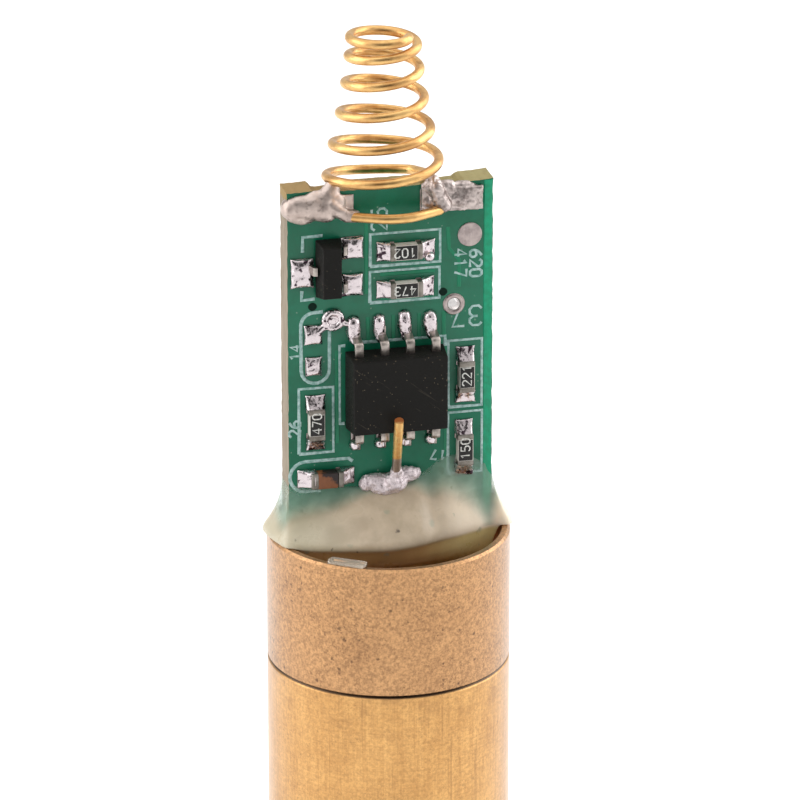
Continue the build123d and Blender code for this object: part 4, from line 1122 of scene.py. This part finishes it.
points, thick, faces = [], [], []
for i in range(round_count):
    share = i / round_count
    k, part = int(share * len(stations)), share * len(stations) % 1.0
    here, after = stations[k], stations[(k + 1) % len(stations)]
    start = Vector((here[0] + (after[0] - here[0]) * part, here[1] + (after[1] - here[1]) * part, 0.0))
    rise, x, y, full = (spread([s[j] for s in stations], share) for j in (2, 3, 4, 5))
    rise += 0.06 * noise.noise(Vector((math.cos(share * math.tau), math.sin(share * math.tau), 0.4)) * 3.0)
    out = Vector((x, y, 0.0)) - start
    in_cup = max(0.0, min(1.0, (cup_r - math.hypot(x, y)) / cup_fade))
    for reach, level in glue_profile:
        reach = reach ** (1 / full) if reach > 0 and level > 0 else reach
        height = level * (rise if level > 0 else glue_depth * in_cup)
        at = start + out * reach + Vector((0.0, 0.0, rim_z + height))
        if in_cup < 0.05:
            at.z = max(at.z, rim_z + 0.02)
        lumpy = 0.04 * noise.noise(at * 0.9) * max(0.0, min(1.0, reach * 3))
        points.append((at + out.normalized() * lumpy) * MM)
        thick.append(max(0.0, out.length * reach) if level > 0 else 1.0)
rows = len(glue_profile)
for i in range(round_count):
    a, b = i * rows, (i + 1) % round_count * rows
    faces += [(a + j, a + j + 1, b + j + 1, b + j) for j in range(rows - 1)]
    faces.append((a + rows - 1, a, b, b + rows - 1))
glue_mesh = closed_mesh("glue_ring", points, faces)
thickness = glue_mesh.attributes.new("thickness", "FLOAT", "POINT")
thickness.data.foreach_set("value", thick)
smooth(glue_mesh)

glue_milky, shader, place = new_finish("glue_milky", Subsurface_Weight=0.3, Subsurface_Radius=(0.6, 0.5, 0.4),
                                       Subsurface_Scale=MM, Coat_Weight=0.3, Coat_Roughness=0.15)
depth = put(place.id_data, "ShaderNodeAttribute", {"attribute_name": "thickness"}).outputs["Fac"]
x, _, z = coordinates(place)
cloud = clouds(place, 0.7, 5.0)
milk = mixed(between(cloud, 0.35, 0.65), tint(199, 181, 155), tint(177, 159, 133))
milk = mixed(between(x, -1.5, -5.0, 0.0, 0.7), milk, tint(179, 173, 147))
milk = mixed(between(x, 1.5, 4.0, 0.0, 0.95), milk, tint(244, 228, 204))
# Painted light: below the rim the adhesive turns brown, paler to the right, standing for the brass-coloured
# light reflected inside the cup.
painted_cup_light = mixed(between(x, 0.5, 4.0), tint(188, 148, 98), tint(226, 208, 148))
milk = mixed(between(z, rim_z + 0.05, rim_z - 0.2), milk, painted_cup_light)
milk = mixed(between(depth, 0.6, 0.1, 0.0, 0.85), milk, tint(162, 202, 181))
bubbles = effect_value(specks, place, Grain=1.6, Share=0.25, Spread=0.5)
milk = mixed(times(bubbles, 0.45), milk, tint(140, 150, 128))
dirt = effect_value(specks, place, Grain=2.4, Share=0.035, Spread=0.3)
milk = mixed(times(dirt, 0.85), milk, tint(62, 48, 36))
veil = sums("ADD", depth, ranged(clouds(place, 1.0, 2.0), -0.06, 0.06))
feed(shader, Base_Color=milk, Roughness=ranged(cloud, 0.25, 0.42), Alpha=between(veil, 0.0, 0.7, 0.3, 1.0))
bumped(shader, clouds(place, 2.0), 0.03, 0.4)
in_place(new_piece("glue_ring", glue_mesh, glue_milky), "glue_milky", "glue_fillet")

glue_clear = clouded("glue_clear", tint(250, 240, 226), tint(228, 210, 188), 1.5, (0.08, 0.25),
                     Transmission_Weight=0.75, IOR=1.48)
flake_mesh = pool_mesh("flake", 1.95, 0.7, 0.16, lambda u, v: 0.05 + 0.07 * max(abs(u), abs(v)) ** 8)
flake_place = Matrix.Translation(Vector((-3.27, -4.82, rim_z + 0.01)) * MM)
flake_turn = Matrix.Rotation(math.radians(-34), 4, "Z") @ Matrix.Rotation(math.radians(-90), 4, "X")
flake_mesh.transform(flake_place @ flake_turn)
smooth(flake_mesh)
in_place(new_piece("flake", flake_mesh, glue_clear), "glue_clear", "glue_flake")

# Studio
# A pale floor, soft light from both sides and above as in a light tent, and
# the camera a little left of the board's face, looking down.

floor_mesh = bpy.data.meshes.new("floor")
half = 3.0
floor_corners = [(-half, -half, 0), (half, -half, 0), (half, half, 0), (-half, half, 0)]
floor_mesh.from_pydata(floor_corners, [], [(0, 1, 2, 3)])
paper = clouded("paper", tint(250, 250, 250), tint(246, 246, 246), 0.004, detail=2.0, Roughness=0.9)
floor = new_piece("floor", floor_mesh, paper)
floor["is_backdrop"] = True

sky = bpy.data.worlds.new("tent")
sky.use_nodes = True
sky.node_tree.nodes["Background"].inputs["Color"].default_value = (1.0, 1.0, 1.0, 1.0)
sky.node_tree.nodes["Background"].inputs["Strength"].default_value = 0.75
bpy.context.scene.world = sky
bpy.context.scene.view_settings.view_transform = "Standard"


def soft_box(name, place, aim, wide, watts):
    """A lit panel, width by height, that looks at a point and isn't seen itself."""
    lamp = bpy.data.lights.new(name, "AREA")
    lamp.shape, lamp.size, lamp.size_y, lamp.energy = "RECTANGLE", wide[0], wide[1], watts
    holder = bpy.data.objects.new(name, lamp)
    holder.location = place
    holder.rotation_euler = (Vector(aim) - Vector(place)).to_track_quat("-Z", "Y").to_euler()
    holder.visible_camera = False
    bpy.context.scene.collection.objects.link(holder)


soft_box("tent_left", (-0.45, 0.05, 0.2), (0, 0, 0.03), (0.5, 0.5), 1.7)
soft_box("tent_right", (0.45, 0.05, 0.2), (0, 0, 0.03), (0.5, 0.5), 1.7)
soft_box("tent_top", (0.0, 0.1, 0.6), (0, 0, 0.0), (0.9, 0.9), 2.0)

# The dark side of the room behind the camera, which metal mirrors.
dark_mesh = bpy.data.meshes.new("dark_side")
dark_corners = [(-0.3, -0.42, 0.02), (0.1, -0.51, 0.02), (0.1, -0.45, 0.4), (-0.3, -0.36, 0.4)]
dark_mesh.from_pydata(dark_corners, [], [(0, 1, 2, 3)])
cloth = clouded("cloth", tint(40, 40, 40), tint(60, 60, 60), 0.05, Roughness=1.0)
dark_side = new_piece("dark_side", dark_mesh, cloth)
dark_side.visible_camera = False
dark_side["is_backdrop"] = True

lens = bpy.data.cameras.new("camera")
lens.lens, lens.sensor_width = 259.96, 36.0
lens.clip_start, lens.clip_end = 0.01, 20.0
camera = bpy.data.objects.new("camera", lens)
bpy.context.scene.collection.objects.link(camera)
camera.location = (-0.0591, -0.25693, 0.13759)
sideways = Vector((0.9746, -0.2242, 0.0))
aim = Vector((0.0, 0.0, 0.037253)) + sideways * 0.000578
camera.rotation_euler = (aim - camera.location).to_track_quat("-Z", "Y").to_euler()
bpy.context.scene.camera = camera

low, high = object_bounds()
